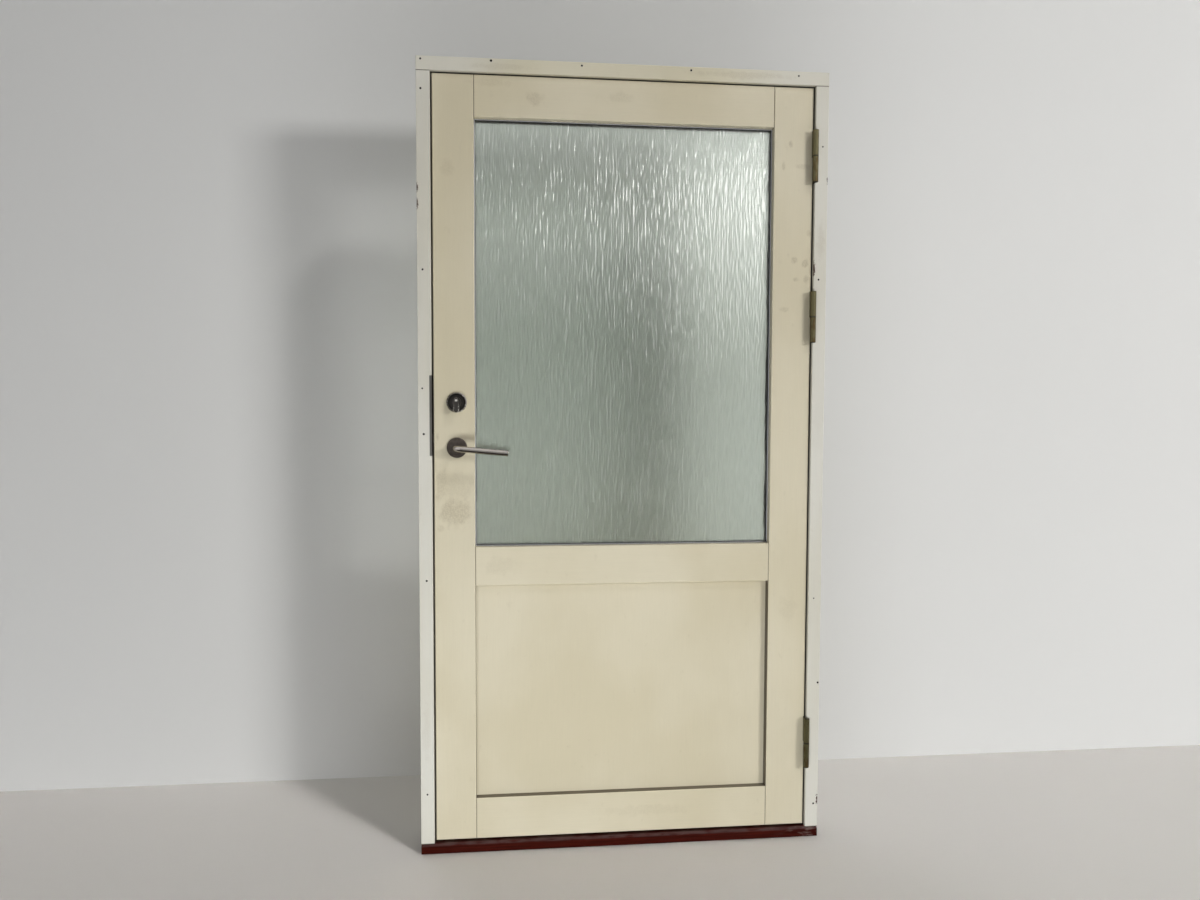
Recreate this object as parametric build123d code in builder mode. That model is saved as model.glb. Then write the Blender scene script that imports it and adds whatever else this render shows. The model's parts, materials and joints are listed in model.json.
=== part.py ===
"""Framed glass door: a hinged timber leaf with a glazed top light, a solid lower panel and a lever lock.

Millimetres, +Z up, +X towards the hinges, -Y towards the side that the leaf opens to.
The origin is the middle of the threshold's underside, at half the frame's depth.
"""
import math
import os

from build123d import *

# Frame
frame_width = 1088.0
frame_height = 2088.0
frame_depth = 115.0
jamb_face = 35.0
head_face = 35.0
stop_rise = 16.0
threshold_height = 27.0
threshold_nose = 6.0
weathering_flat = 12.0
weathering_fall = 11.0
threshold_stop_rise = 18.0
arris = 0.8
fixing_radius = 5.0
fixing_end_insets = (250.0, 790.0)

# Weather seals
seal_gap = 5.0
seal_width = 8.0
seal_inset = 1.5
seal_groove_width = 3.0
seal_groove_depth = 6.0
seal_bulb_radius = 2.2

# Leaf
leaf_thickness = 54.0
leaf_recess = 10.0
leaf_gap = 4.0
foot_gap = 6.0
stile_width = 106.0
top_rail_height = 106.0
middle_rail_height = 103.0
bottom_rail_height = 110.0
middle_rail_level = 720.0
lip_depth = 20.0
rebate_width = 15.0
dowel_radius = 7.0
dowel_length = 110.0
dowel_places_share = (0.3, 0.7)

# Glazing and panel
pane_thickness = 4.0
pane_space = 10.0
pane_edge_gap = 3.0
spacer_width = 7.0
spacer_inset = 5.0
front_gasket_depth = 4.0
rear_gasket_depth = 3.0
gasket_show = 3.5
setting_block_length = 100.0
setting_block_place_share = 0.5
panel_thickness = 18.0
bead_splay = 4.0

# Hinges
top_hinge_drop = 183.0
middle_hinge_drop = 610.0
bottom_hinge_rise = 236.0
knuckle_radius = 7.5
knuckle_length = 69.0
knuckle_stand_off = 8.0
knuckle_round = 1.6
knuckle_split = 0.4
hinge_pin_radius = 4.5
hinge_pin_reach = 60.0
flap_thickness = 2.5
flap_width = 35.0
flap_corner = 6.0
flap_screw_height_shares = (0.2, 0.5, 0.8)
flap_screw_depth_shares = (0.32, 0.7, 0.32)

# Wood screws
screw_head_radius = 3.9
screw_shank_radius = 2.0
screw_length = 28.0
screw_head_depth = 2.0

# Lock
lever_level = 1087.0
turn_level = 1206.0
backset = 60.0
case_height_below = 47.0
case_height_above = 64.0
case_thickness = 18.0
case_depth = 80.0
case_wall = 1.5
faceplate_thickness = 3.0
faceplate_width = 22.0
faceplate_overhang = 15.0
bolt_thickness = 12.0
latch_height = 22.0
latch_rise = 25.0
latch_throw = 12.0
latch_body = 15.0
dead_height = 26.0
dead_rise = 30.0
dead_throw = 20.0
dead_body = 34.0
dead_set_back = 0.5
tail_thickness = 4.0
tail_height = 11.0
tail_end = 9.0
lug_width = 5.5
latch_lug_lead = 3.5
dead_lug_lead = 5.0
lug_drop_clearance = 6.5
cam_radius = 11.0
cam_arm_width = 6.0
latch_arm_reach = 18.0
dead_arm_reach = 16.0
arm_pass_gap = 1.5
journal_radius = 8.0

# Strike plate
strike_below_latch = 35.0
strike_above_bolt = 27.0
strike_thickness = 2.5
strike_lip = 6.0
strike_reach = 56.0
strike_corner = 2.4
pocket_room = 2.0
strike_screw_shares = (0.08, 0.5, 0.94)

# Handles
rose_radius = 26.5
rose_height = 8.0
rose_edge = 2.5
rose_rim_width = 5.0
turn_rose_height = 9.0
turn_rose_dish = 2.0
lever_radius = 8.0
lever_stand_off = 60.0
lever_length = 135.0
lever_bend_radius = 19.0
lever_droop_angle = 5.1
lever_end_round = 1.2
spindle_width = 8.0
spindle_socket = 22.0
lever_bore_radius = 11.0
turn_boss_radius = 12.0
turn_boss_height = 3.0
turn_grip_height = 19.0
turn_grip_top_radius = 5.0
turn_grip_foot_radius = 8.0
turn_grip_rise = 8.0
turn_grip_drop = 17.0
turn_grip_round = 2.0
turn_shaft_width = 6.0
turn_bore_radius = 10.0
cylinder_radius = 14.0
cylinder_proud = 1.0
key_slot_width = 2.4
key_slot_height = 9.0
key_slot_depth = 24.0
plug_ring_radius = 8.0
plug_ring_width = 0.8
plug_ring_depth = 0.6

# Fits
running_clearance = 0.05
sliding_clearance = 0.3
cut_overrun = 2.0

# Places worked out from the sizes above
frame_half = frame_width / 2
frame_front = -frame_depth / 2
frame_back = frame_depth / 2
jamb_inner = frame_half - jamb_face
stop_inner = jamb_inner - stop_rise
head_under = frame_height - head_face
head_stop_under = head_under - stop_rise
leaf_half = jamb_inner - leaf_gap
leaf_front = frame_front + leaf_recess
leaf_back = leaf_front + leaf_thickness
leaf_middle = leaf_front + leaf_thickness / 2
leaf_top = head_under - leaf_gap
leaf_foot = threshold_height + foot_gap
stop_face = leaf_back + seal_gap
threshold_stop_top = threshold_height + threshold_stop_rise
sight = leaf_half - stile_width
rebate_half = sight + rebate_width
glass_top = leaf_top - top_rail_height
glass_foot = middle_rail_level + middle_rail_height
panel_top = middle_rail_level
panel_foot = leaf_foot + bottom_rail_height
lip_back = leaf_front + lip_depth
pane_front = lip_back + front_gasket_depth
space_front = pane_front + pane_thickness
space_back = space_front + pane_space
pane_back = space_back + pane_thickness
bead_front = pane_back + rear_gasket_depth
panel_back = lip_back + panel_thickness
spindle_x = backset - leaf_half
hinge_x = (leaf_half + jamb_inner) / 2
hinge_y = frame_front - knuckle_stand_off
hinge_centres = {
    "top": leaf_top - top_hinge_drop,
    "middle": leaf_top - middle_hinge_drop,
    "bottom": leaf_foot + bottom_hinge_rise,
}
fixing_levels = [level for inset in fixing_end_insets for level in (inset, frame_height - inset)]
case_foot = lever_level - case_height_below
case_top = turn_level + case_height_above
case_front = leaf_middle - case_thickness / 2
case_back = leaf_middle + case_thickness / 2
bolt_front = leaf_middle - bolt_thickness / 2
bolt_back = leaf_middle + bolt_thickness / 2
case_edge = faceplate_thickness - leaf_half
case_end = case_edge + case_depth
latch_z = lever_level + latch_rise
dead_z = turn_level + dead_rise
strike_foot = latch_z - latch_height / 2 - strike_below_latch
strike_head = dead_z + dead_height / 2 + strike_above_bolt
pocket_depth = dead_throw - dead_set_back - leaf_gap + pocket_room
seal_outer = stop_inner + seal_inset + seal_width
seal_groove_inner = stop_inner + seal_inset + (seal_width - seal_groove_width) / 2


def level(height):
    """Horizontal plane at a height."""
    return Plane.XY.offset(height)


def upright(depth):
    """Vertical plane across the doorway, seen from the front: local axes are +X and +Z."""
    return Plane.XZ.offset(-depth)


def endwise(place):
    """Vertical plane square to the width: local axes are +Y and +Z."""
    return Plane.YZ.offset(place)


def section(plane, points):
    """Closed flat outline on a plane."""
    with BuildSketch(plane) as flat:
        with BuildLine():
            Polyline(*points, close=True)
        make_face()
    return flat.sketch


def block(low, high, mode=Mode.ADD):
    """Square-edged block between two corners, added to or cut from the piece being made."""
    size = [b - a for a, b in zip(low, high)]
    centre = tuple((a + b) / 2 for a, b in zip(low, high))
    with Locations(centre):
        Box(*size, mode=mode)


def rod(x, z, near, far, radius, mode=Mode.ADD):
    """Round bar or hole along Y, from one depth to another."""
    with Locations(Plane(origin=(x, near, z), x_dir=(1, 0, 0), z_dir=(0, 1, 0))):
        Cylinder(radius, far - near, align=(Align.CENTER, Align.CENTER, Align.MIN), mode=mode)


def drive_screws(places, heading, slack=0.0, mode=Mode.ADD):
    """Countersunk wood screws along X, or with some slack the holes that they sit in."""
    seat = (Align.CENTER, Align.CENTER, Align.MIN)
    for place in places:
        with Locations(Plane(origin=place, x_dir=(0, 1, 0), z_dir=(heading, 0, 0))):
            shank = screw_shank_radius + slack
            Cone(screw_head_radius + slack, shank, screw_head_depth, align=seat, mode=mode)
            Cylinder(shank, screw_length + slack, align=seat, mode=mode)


def bolt_windows(near, far):
    """Cut the windows that the two bolts pass through, from one place along X to another."""
    for bolt_z, bolt_height in ((latch_z, latch_height), (dead_z, dead_height)):
        half = bolt_height / 2 + sliding_clearance
        block(
            (near, bolt_front - sliding_clearance, bolt_z - half),
            (far, bolt_back + sliding_clearance, bolt_z + half),
            Mode.SUBTRACT,
        )


def ease_front(builder):
    """Take the sharp arris off the edges of a piece's front face."""
    front = builder.faces().filter_by(Axis.Y).sort_by(Axis.Y)[0]
    chamfer(front.edges(), arris)


def save(builder, node):
    """Name a finished piece and write it."""
    builder.part.label = node
    export_step(builder.part, f"parts/{node}.step")


def flap_screw_places(face, foot, top):
    """Screw heads on a hinge flap that is let in flush with a vertical edge."""
    return [
        (face, leaf_front + depth * flap_width, foot + height * (top - foot))
        for height, depth in zip(flap_screw_height_shares, flap_screw_depth_shares)
    ]


def leaf_flap_span(centre):
    """Heights of the leaf's half of a hinge, which is the upper one."""
    return centre + knuckle_split, centre + knuckle_length


def frame_flap_span(centre):
    """Heights of the frame's half of a hinge, which is the lower one."""
    return centre - knuckle_length, centre - knuckle_split


leaf_flap_screws = []
frame_flap_screws = []
for centre in hinge_centres.values():
    leaf_flap_screws += flap_screw_places(leaf_half, *leaf_flap_span(centre))
    frame_flap_screws += flap_screw_places(jamb_inner, *frame_flap_span(centre))
strike_screws = [
    (-jamb_inner, leaf_middle, strike_foot + share * (strike_head - strike_foot))
    for share in strike_screw_shares
]
faceplate_screws = [
    (-leaf_half, leaf_middle, case_foot - faceplate_overhang / 2),
    (-leaf_half, leaf_middle, case_top + faceplate_overhang / 2),
]

os.makedirs("parts", exist_ok=True)

# Frame: head over two jambs on a threshold, all with a stop behind the leaf
head_section = section(
    endwise(-frame_half),
    [
        (frame_front, head_under),
        (stop_face, head_under),
        (stop_face, head_stop_under),
        (frame_back, head_stop_under),
        (frame_back, frame_height),
        (frame_front, frame_height),
    ],
)
seal_inner_z = head_stop_under + seal_inset
with BuildPart() as frame_head:
    extrude(head_section, amount=frame_width)
    ease_front(frame_head)
    groove_foot = seal_inner_z + (seal_width - seal_groove_width) / 2
    block(
        (-seal_outer, stop_face - cut_overrun, groove_foot),
        (seal_outer, stop_face + seal_groove_depth, groove_foot + seal_groove_width),
        Mode.SUBTRACT,
    )
save(frame_head, "frame_head")


def jamb_section(side):
    """Outline of a jamb seen from above: a face part for the leaf and a stop behind it."""
    outer = side * frame_half
    inner = side * jamb_inner
    stop = side * stop_inner
    return section(
        level(threshold_height),
        [
            (outer, frame_front),
            (inner, frame_front),
            (inner, stop_face),
            (stop, stop_face),
            (stop, frame_back),
            (outer, frame_back),
        ],
    )


def finish_jamb(builder, side):
    """Cut the head's housing, the seal's groove and the fixing holes in a jamb."""
    ease_front(builder)
    across = sorted((side * (frame_half + cut_overrun), side * (stop_inner - cut_overrun)))
    block(
        (across[0], stop_face, head_stop_under),
        (across[1], frame_back + cut_overrun, head_under + cut_overrun),
        Mode.SUBTRACT,
    )
    groove = sorted((side * seal_groove_inner, side * (seal_groove_inner + seal_groove_width)))
    block(
        (groove[0], stop_face - cut_overrun, threshold_height - cut_overrun),
        (groove[1], stop_face + seal_groove_depth, head_stop_under + cut_overrun),
        Mode.SUBTRACT,
    )
    middle = (stop_face + frame_back) / 2
    for height in fixing_levels:
        with Locations(Plane(origin=(side * frame_half, middle, height), z_dir=(1, 0, 0))):
            Cylinder(fixing_radius, 2 * frame_half - 2 * stop_inner + cut_overrun, mode=Mode.SUBTRACT)


latch_jamb_outline = jamb_section(-1)
with BuildPart() as latch_jamb:
    extrude(latch_jamb_outline, amount=head_under - threshold_height)
    finish_jamb(latch_jamb, -1)
    block(
        (-jamb_inner - strike_lip, frame_front - cut_overrun, strike_foot),
        (-jamb_inner + cut_overrun, frame_front + strike_thickness, strike_head),
        Mode.SUBTRACT,
    )
    block(
        (-jamb_inner - strike_thickness, frame_front, strike_foot),
        (-jamb_inner + cut_overrun, frame_front + strike_reach, strike_head),
        Mode.SUBTRACT,
    )
    bolt_windows(-jamb_inner - pocket_depth, -jamb_inner)
    drive_screws(strike_screws, -1, running_clearance, Mode.SUBTRACT)
save(latch_jamb, "latch_jamb")

hinge_jamb_outline = jamb_section(1)
with BuildPart() as hinge_jamb:
    extrude(hinge_jamb_outline, amount=head_under - threshold_height)
    finish_jamb(hinge_jamb, 1)
    for centre in hinge_centres.values():
        flap_foot, flap_top = frame_flap_span(centre)
        block(
            (jamb_inner - cut_overrun, frame_front - cut_overrun, flap_foot),
            (jamb_inner + flap_thickness, leaf_front + flap_width, flap_top),
            Mode.SUBTRACT,
        )
    drive_screws(frame_flap_screws, 1, running_clearance, Mode.SUBTRACT)
save(hinge_jamb, "hinge_jamb")

threshold_section = section(
    endwise(-frame_half),
    [
        (frame_front, 0),
        (frame_back, 0),
        (frame_back, threshold_height),
        (frame_front + threshold_nose, threshold_height),
        (frame_front, threshold_height - threshold_nose),
    ],
)
threshold_stop_section = section(
    endwise(-stop_inner),
    [
        (stop_face, threshold_height),
        (frame_back, threshold_height),
        (frame_back, threshold_stop_top - weathering_fall),
        (stop_face + weathering_flat, threshold_stop_top),
        (stop_face, threshold_stop_top),
    ],
)
with BuildPart() as threshold:
    extrude(threshold_section, amount=frame_width)
    extrude(threshold_stop_section, amount=2 * stop_inner)
    groove_top = threshold_stop_top - seal_inset - (seal_width - seal_groove_width) / 2
    block(
        (-stop_inner, stop_face - cut_overrun, groove_top - seal_groove_width),
        (stop_inner, stop_face + seal_groove_depth, groove_top),
        Mode.SUBTRACT,
    )
save(threshold, "threshold")


# Weather seals: a barb in the stop's groove and a soft bulb against the leaf's back
def seal_outline(plane, turn):
    """Seal section: turn maps (across the seal, out of the stop) to the plane's own axes."""
    half = seal_width / 2
    barb = seal_groove_width / 2 - running_clearance
    out = seal_gap - sliding_clearance
    points = [
        (-barb, running_clearance - seal_groove_depth),
        (barb, running_clearance - seal_groove_depth),
        (barb, 0),
        (half, 0),
        (half, out - seal_bulb_radius),
        (half - seal_bulb_radius, out),
        (seal_bulb_radius - half, out),
        (-half, out - seal_bulb_radius),
        (-half, 0),
        (-barb, 0),
    ]
    return section(plane, [turn(*point) for point in points])


seal_centre = stop_inner + seal_inset + seal_width / 2
head_seal_z = seal_inner_z + seal_width / 2
threshold_seal_z = threshold_stop_top - seal_inset - seal_width / 2
head_seal_outline = seal_outline(endwise(-seal_outer), lambda a, out: (stop_face - out, head_seal_z + a))
with BuildPart() as head_seal:
    extrude(head_seal_outline, amount=2 * seal_outer)
save(head_seal, "head_seal")

threshold_seal_outline = seal_outline(
    endwise(-stop_inner), lambda a, out: (stop_face - out, threshold_seal_z + a)
)
with BuildPart() as threshold_seal:
    extrude(threshold_seal_outline, amount=2 * stop_inner)
save(threshold_seal, "threshold_seal")

side_seal_length = seal_inner_z - sliding_clearance - threshold_height
for side, node in ((-1, "latch_side_seal"), (1, "hinge_side_seal")):
    side_seal_outline = seal_outline(
        level(threshold_height), lambda a, out, side=side: (side * (seal_centre + a), stop_face - out)
    )
    with BuildPart() as side_seal:
        extrude(side_seal_outline, amount=side_seal_length)
        block((-frame_half, stop_face, head_stop_under), (frame_half, frame_back, head_under), Mode.SUBTRACT)
    save(side_seal, node)

# Strike plate: an angle with a lip on the jamb's face and two bolt windows
with BuildPart() as strike_plate:
    block(
        (-jamb_inner - strike_thickness, frame_front, strike_foot),
        (-jamb_inner, frame_front + strike_reach, strike_head),
    )
    block(
        (-jamb_inner - strike_lip, frame_front, strike_foot),
        (-jamb_inner, frame_front + strike_thickness, strike_head),
    )
    lip_corners = strike_plate.edges().filter_by(Axis.Y).group_by(Axis.X)[0]
    fillet(lip_corners, strike_corner)
    bolt_windows(-jamb_inner - strike_lip - cut_overrun, -jamb_inner + cut_overrun)
    drive_screws(strike_screws, -1, running_clearance, Mode.SUBTRACT)
save(strike_plate, "strike_plate")

with BuildPart() as strike_screw_set:
    drive_screws(strike_screws, -1)
save(strike_screw_set, "strike_screws")


# Leaf: two full-height stiles with three rails dowelled between them
def rebates():
    """Cut the glass and panel rebates from the back of the piece being made."""
    for foot, top in ((glass_foot, glass_top), (panel_foot, panel_top)):
        block(
            (-rebate_half, lip_back, foot - rebate_width),
            (rebate_half, leaf_back + cut_overrun, top + rebate_width),
            Mode.SUBTRACT,
        )


def dowel_levels(foot, top):
    """Heights of the dowels in a rail, clear of its rebates."""
    return [foot + share * (top - foot) for share in dowel_places_share]


rail_spans = {
    "top_rail": (glass_top, leaf_top),
    "middle_rail": (panel_top, glass_foot),
    "bottom_rail": (leaf_foot, panel_foot),
}
dowel_spans = {
    "top_rail": (glass_top + rebate_width, leaf_top),
    "middle_rail": (panel_top + rebate_width, glass_foot - rebate_width),
    "bottom_rail": (leaf_foot, panel_foot - rebate_width),
}
dowel_places = [
    (side * sight, leaf_middle, height)
    for span in dowel_spans.values()
    for height in dowel_levels(*span)
    for side in (-1, 1)
]


def dowels(slack=0.0, mode=Mode.ADD):
    """Dowels across the joints of stiles and rails, or with some slack their holes."""
    for place in dowel_places:
        with Locations(Plane(origin=place, z_dir=(1, 0, 0))):
            Cylinder(dowel_radius + slack, dowel_length + 2 * slack, mode=mode)


with BuildPart() as rail_dowels:
    dowels()
save(rail_dowels, "rail_dowels")

for node, (rail_foot, rail_top) in rail_spans.items():
    with BuildPart() as rail:
        block((-sight, leaf_front, rail_foot), (sight, leaf_back, rail_top))
        ease_front(rail)
        rebates()
        dowels(running_clearance, Mode.SUBTRACT)
    save(rail, node)

with BuildPart() as hinge_stile:
    block((sight, leaf_front, leaf_foot), (leaf_half, leaf_back, leaf_top))
    ease_front(hinge_stile)
    rebates()
    dowels(running_clearance, Mode.SUBTRACT)
    for centre in hinge_centres.values():
        flap_foot, flap_top = leaf_flap_span(centre)
        block(
            (leaf_half - flap_thickness, leaf_front - cut_overrun, flap_foot),
            (leaf_half + cut_overrun, leaf_front + flap_width, flap_top),
            Mode.SUBTRACT,
        )
    drive_screws(leaf_flap_screws, -1, running_clearance, Mode.SUBTRACT)
save(hinge_stile, "hinge_stile")

with BuildPart() as latch_stile:
    block((-leaf_half, leaf_front, leaf_foot), (-sight, leaf_back, leaf_top))
    ease_front(latch_stile)
    rebates()
    dowels(running_clearance, Mode.SUBTRACT)
    block(
        (-leaf_half - cut_overrun, leaf_middle - faceplate_width / 2, case_foot - faceplate_overhang),
        (case_edge, leaf_middle + faceplate_width / 2, case_top + faceplate_overhang),
        Mode.SUBTRACT,
    )
    block(
        (case_edge, case_front - sliding_clearance, case_foot - sliding_clearance),
        (case_end + sliding_clearance, case_back + sliding_clearance, case_top + sliding_clearance),
        Mode.SUBTRACT,
    )
    rod(
        spindle_x, lever_level, leaf_front - cut_overrun, leaf_back + cut_overrun,
        lever_bore_radius, Mode.SUBTRACT,
    )
    rod(spindle_x, turn_level, leaf_front - cut_overrun, leaf_middle, turn_bore_radius, Mode.SUBTRACT)
    rod(
        spindle_x, turn_level, leaf_middle, leaf_back + cut_overrun,
        cylinder_radius + sliding_clearance, Mode.SUBTRACT,
    )
    drive_screws(faceplate_screws, 1, running_clearance, Mode.SUBTRACT)
save(latch_stile, "latch_stile")

# Lower panel, seated in its rebate
with BuildPart() as lower_panel:
    block(
        (pane_edge_gap - rebate_half, lip_back, panel_foot - rebate_width),
        (rebate_half - pane_edge_gap, panel_back, panel_top + rebate_width - pane_edge_gap),
    )
save(lower_panel, "lower_panel")

# Sealed double pane on setting blocks, between two gaskets
pane_half = rebate_half - pane_edge_gap
pane_foot = glass_foot - rebate_width + pane_edge_gap
pane_top = glass_top + rebate_width - pane_edge_gap
for node, near, far in (("front_pane", pane_front, space_front), ("rear_pane", space_back, pane_back)):
    with BuildPart() as pane:
        block((-pane_half, near, pane_foot), (pane_half, far, pane_top))
    save(pane, node)


def ring(near, far, inset, width):
    """Closed rectangular ring inside the pane's edge."""
    block(
        (inset - pane_half, near, pane_foot + inset),
        (pane_half - inset, far, pane_top - inset),
    )
    inner = inset + width
    block(
        (inner - pane_half, near - cut_overrun, pane_foot + inner),
        (pane_half - inner, far + cut_overrun, pane_top - inner),
        Mode.SUBTRACT,
    )


with BuildPart() as spacer_frame:
    ring(space_front, space_back, spacer_inset, spacer_width)
save(spacer_frame, "spacer_frame")

with BuildPart() as edge_seal:
    ring(space_front, space_back, 0, spacer_inset)
save(edge_seal, "edge_seal")

gasket_width = rebate_width - pane_edge_gap + gasket_show
for node, near, far in (("front_gasket", lip_back, pane_front), ("rear_gasket", pane_back, bead_front)):
    with BuildPart() as gasket:
        ring(near, far, 0, gasket_width)
    save(gasket, node)

with BuildPart() as setting_blocks:
    for side in (-1, 1):
        block_x = side * setting_block_place_share * pane_half
        block(
            (block_x - setting_block_length / 2, pane_front, glass_foot - rebate_width),
            (block_x + setting_block_length / 2, pane_back, pane_foot),
        )
save(setting_blocks, "setting_blocks")


# Beads: mitred strips that hold the pane and the panel from behind
def bead_set(prefix, foot, top, near):
    """Four mitred beads round an opening, with a splayed inner arris."""
    outer = [
        (-rebate_half, foot - rebate_width),
        (rebate_half, foot - rebate_width),
        (rebate_half, top + rebate_width),
        (-rebate_half, top + rebate_width),
    ]
    inner = [(-sight, foot), (sight, foot), (sight, top), (-sight, top)]
    splayed = [
        (-sight - bead_splay, foot - bead_splay),
        (sight + bead_splay, foot - bead_splay),
        (sight + bead_splay, top + bead_splay),
        (-sight - bead_splay, top + bead_splay),
    ]
    splay_start = leaf_back - bead_splay
    for index, name in enumerate(("bottom", "hinge_side", "top", "latch_side")):
        after = (index + 1) % len(outer)
        square = section(upright(splay_start), [outer[index], outer[after], inner[after], inner[index]])
        narrow = section(upright(leaf_back), [outer[index], outer[after], splayed[after], splayed[index]])
        with BuildPart() as bead:
            extrude(square, amount=splay_start - near)
            loft([square.faces()[0], narrow.faces()[0]], ruled=True)
        save(bead, f"{prefix}_bead_{name}")


bead_set("glazing", glass_foot, glass_top, bead_front)
bead_set("panel", panel_foot, panel_top, panel_back)


# Lift-off hinges: the leaf's knuckle drops over a pin that stands in the frame's knuckle
for name, centre in hinge_centres.items():
    for owner, face, heading in (("leaf", leaf_half, -1), ("frame", jamb_inner, 1)):
        foot, top = leaf_flap_span(centre) if owner == "leaf" else frame_flap_span(centre)
        flap_near = hinge_y + hinge_pin_radius + running_clearance
        flap_far = leaf_front + flap_width
        flap_span = sorted((face, face + heading * flap_thickness))
        flap = section(
            endwise(flap_span[0]), [(flap_near, foot), (flap_far, foot), (flap_far, top), (flap_near, top)]
        )
        with BuildPart() as hinge_half:
            with Locations((hinge_x, hinge_y, foot)):
                Cylinder(knuckle_radius, top - foot, align=(Align.CENTER, Align.CENTER, Align.MIN))
            rims = hinge_half.edges().filter_by(GeomType.CIRCLE).sort_by(Axis.Z)
            fillet(rims[-1] if owner == "leaf" else rims[0], knuckle_round)
            extrude(flap, amount=flap_thickness)
            far_corners = hinge_half.edges().filter_by(Axis.X).group_by(Axis.Y)[-1]
            fillet(far_corners, flap_corner)
            with Locations((hinge_x, hinge_y, centre)):
                Cylinder(
                    hinge_pin_radius + running_clearance,
                    2 * hinge_pin_reach + 2 * running_clearance,
                    mode=Mode.SUBTRACT,
                )
            drive_screws(flap_screw_places(face, foot, top), heading, running_clearance, Mode.SUBTRACT)
        save(hinge_half, f"{owner}_hinge_{name}")

with BuildPart() as hinge_pins:
    for centre in hinge_centres.values():
        with Locations((hinge_x, hinge_y, centre)):
            Cylinder(hinge_pin_radius, 2 * hinge_pin_reach)
save(hinge_pins, "hinge_pins")

with BuildPart() as leaf_hinge_screws:
    drive_screws(leaf_flap_screws, -1)
save(leaf_hinge_screws, "leaf_hinge_screws")

with BuildPart() as frame_hinge_screws:
    drive_screws(frame_flap_screws, 1)
save(frame_hinge_screws, "frame_hinge_screws")

# Lock case: a steel tray with a cover, behind a faceplate in the leaf's edge
case_inner_front = case_front + case_wall
case_inner_back = case_back - case_wall
with BuildPart() as lock_case:
    block((case_edge, case_front, case_foot), (case_end, case_back, case_top))
    block(
        (case_edge - cut_overrun, case_inner_front, case_foot + case_wall),
        (case_end - case_wall, case_back + cut_overrun, case_top - case_wall),
        Mode.SUBTRACT,
    )
    for height in (lever_level, turn_level):
        rod(
            spindle_x, height, case_front - cut_overrun, case_inner_front + cut_overrun,
            journal_radius + running_clearance, Mode.SUBTRACT,
        )
save(lock_case, "lock_case")

with BuildPart() as lock_cover:
    block(
        (case_edge, case_inner_back, case_foot + case_wall),
        (case_end - case_wall, case_back, case_top - case_wall),
    )
    for height in (lever_level, turn_level):
        rod(
            spindle_x, height, case_inner_back - cut_overrun, case_back + cut_overrun,
            journal_radius + running_clearance, Mode.SUBTRACT,
        )
save(lock_cover, "lock_cover")

with BuildPart() as lock_faceplate:
    block(
        (-leaf_half, leaf_middle - faceplate_width / 2, case_foot - faceplate_overhang),
        (case_edge, leaf_middle + faceplate_width / 2, case_top + faceplate_overhang),
    )
    bolt_windows(-leaf_half - cut_overrun, case_edge + cut_overrun)
    drive_screws(faceplate_screws, 1, running_clearance, Mode.SUBTRACT)
save(lock_faceplate, "lock_faceplate")

with BuildPart() as faceplate_screw_set:
    drive_screws(faceplate_screws, 1)
save(faceplate_screw_set, "faceplate_screws")


# Bolts: each has a head in the faceplate's window and a tail with a lug beside its cam's arm
def bolt_tail(head_end, cam_level, arm_reach, lug_low):
    """Flat tail over the cam's arm, and the lug that the arm pushes."""
    foot = cam_level + math.hypot(arm_reach, cam_arm_width / 2) + arm_pass_gap
    block(
        (head_end, leaf_middle - tail_thickness / 2, foot),
        (spindle_x + tail_end, leaf_middle + tail_thickness / 2, foot + tail_height),
    )
    block(
        (lug_low, leaf_middle - tail_thickness / 2, foot - lug_drop_clearance),
        (lug_low + lug_width, leaf_middle + tail_thickness / 2, foot),
    )


latch_tip = -leaf_half - latch_throw
latch_end = latch_body - leaf_half
latch_section = section(
    level(latch_z - latch_height / 2),
    [
        (latch_tip, bolt_front),
        (latch_end, bolt_front),
        (latch_end, bolt_back),
        (-leaf_half, bolt_back),
        (latch_tip, bolt_front + case_wall),
    ],
)
with BuildPart() as latch_bolt:
    extrude(latch_section, amount=latch_height)
    bolt_tail(latch_end, lever_level, latch_arm_reach, spindle_x + latch_lug_lead)
save(latch_bolt, "latch_bolt")

dead_tip = dead_set_back - leaf_half
dead_end = dead_tip + dead_body
with BuildPart() as dead_bolt:
    block(
        (dead_tip, bolt_front, dead_z - dead_height / 2),
        (dead_end, bolt_back, dead_z + dead_height / 2),
    )
    chamfer(dead_bolt.faces().sort_by(Axis.X)[0].edges(), arris)
    bolt_tail(dead_end, turn_level, dead_arm_reach, spindle_x - dead_lug_lead - lug_width)
save(dead_bolt, "dead_bolt")


# Cams: a hub with journals in the case's two walls and an arm for the bolt's lug
def cam(height, arm_reach, bore_width):
    """Hub, journals and arm, with a square hole for the spindle or shaft."""
    rod(spindle_x, height, case_front, case_back, journal_radius)
    hub_front = case_inner_front + sliding_clearance
    hub_back = case_inner_back - sliding_clearance
    rod(spindle_x, height, hub_front, hub_back, cam_radius)
    block(
        (spindle_x - cam_arm_width / 2, bolt_front, height),
        (spindle_x + cam_arm_width / 2, bolt_back, height + arm_reach),
    )
    half = bore_width / 2 + running_clearance
    block(
        (spindle_x - half, case_front - cut_overrun, height - half),
        (spindle_x + half, case_back + cut_overrun, height + half),
        Mode.SUBTRACT,
    )


with BuildPart() as lever_follower:
    cam(lever_level, latch_arm_reach, spindle_width)
save(lever_follower, "lever_follower")

with BuildPart() as turn_follower:
    cam(turn_level, dead_arm_reach, turn_shaft_width)
save(turn_follower, "turn_follower")


# Roses: turned rings on the leaf's two faces
def turned(x, face, z, outward, points):
    """Solid of revolution about a line square to the leaf: points are (radius, height off the face)."""
    plane = Plane(origin=(x, face, z), x_dir=(1, 0, 0), z_dir=(0, 0, outward))
    return section(plane, points), Axis((x, face, z), (0, outward, 0))


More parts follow.
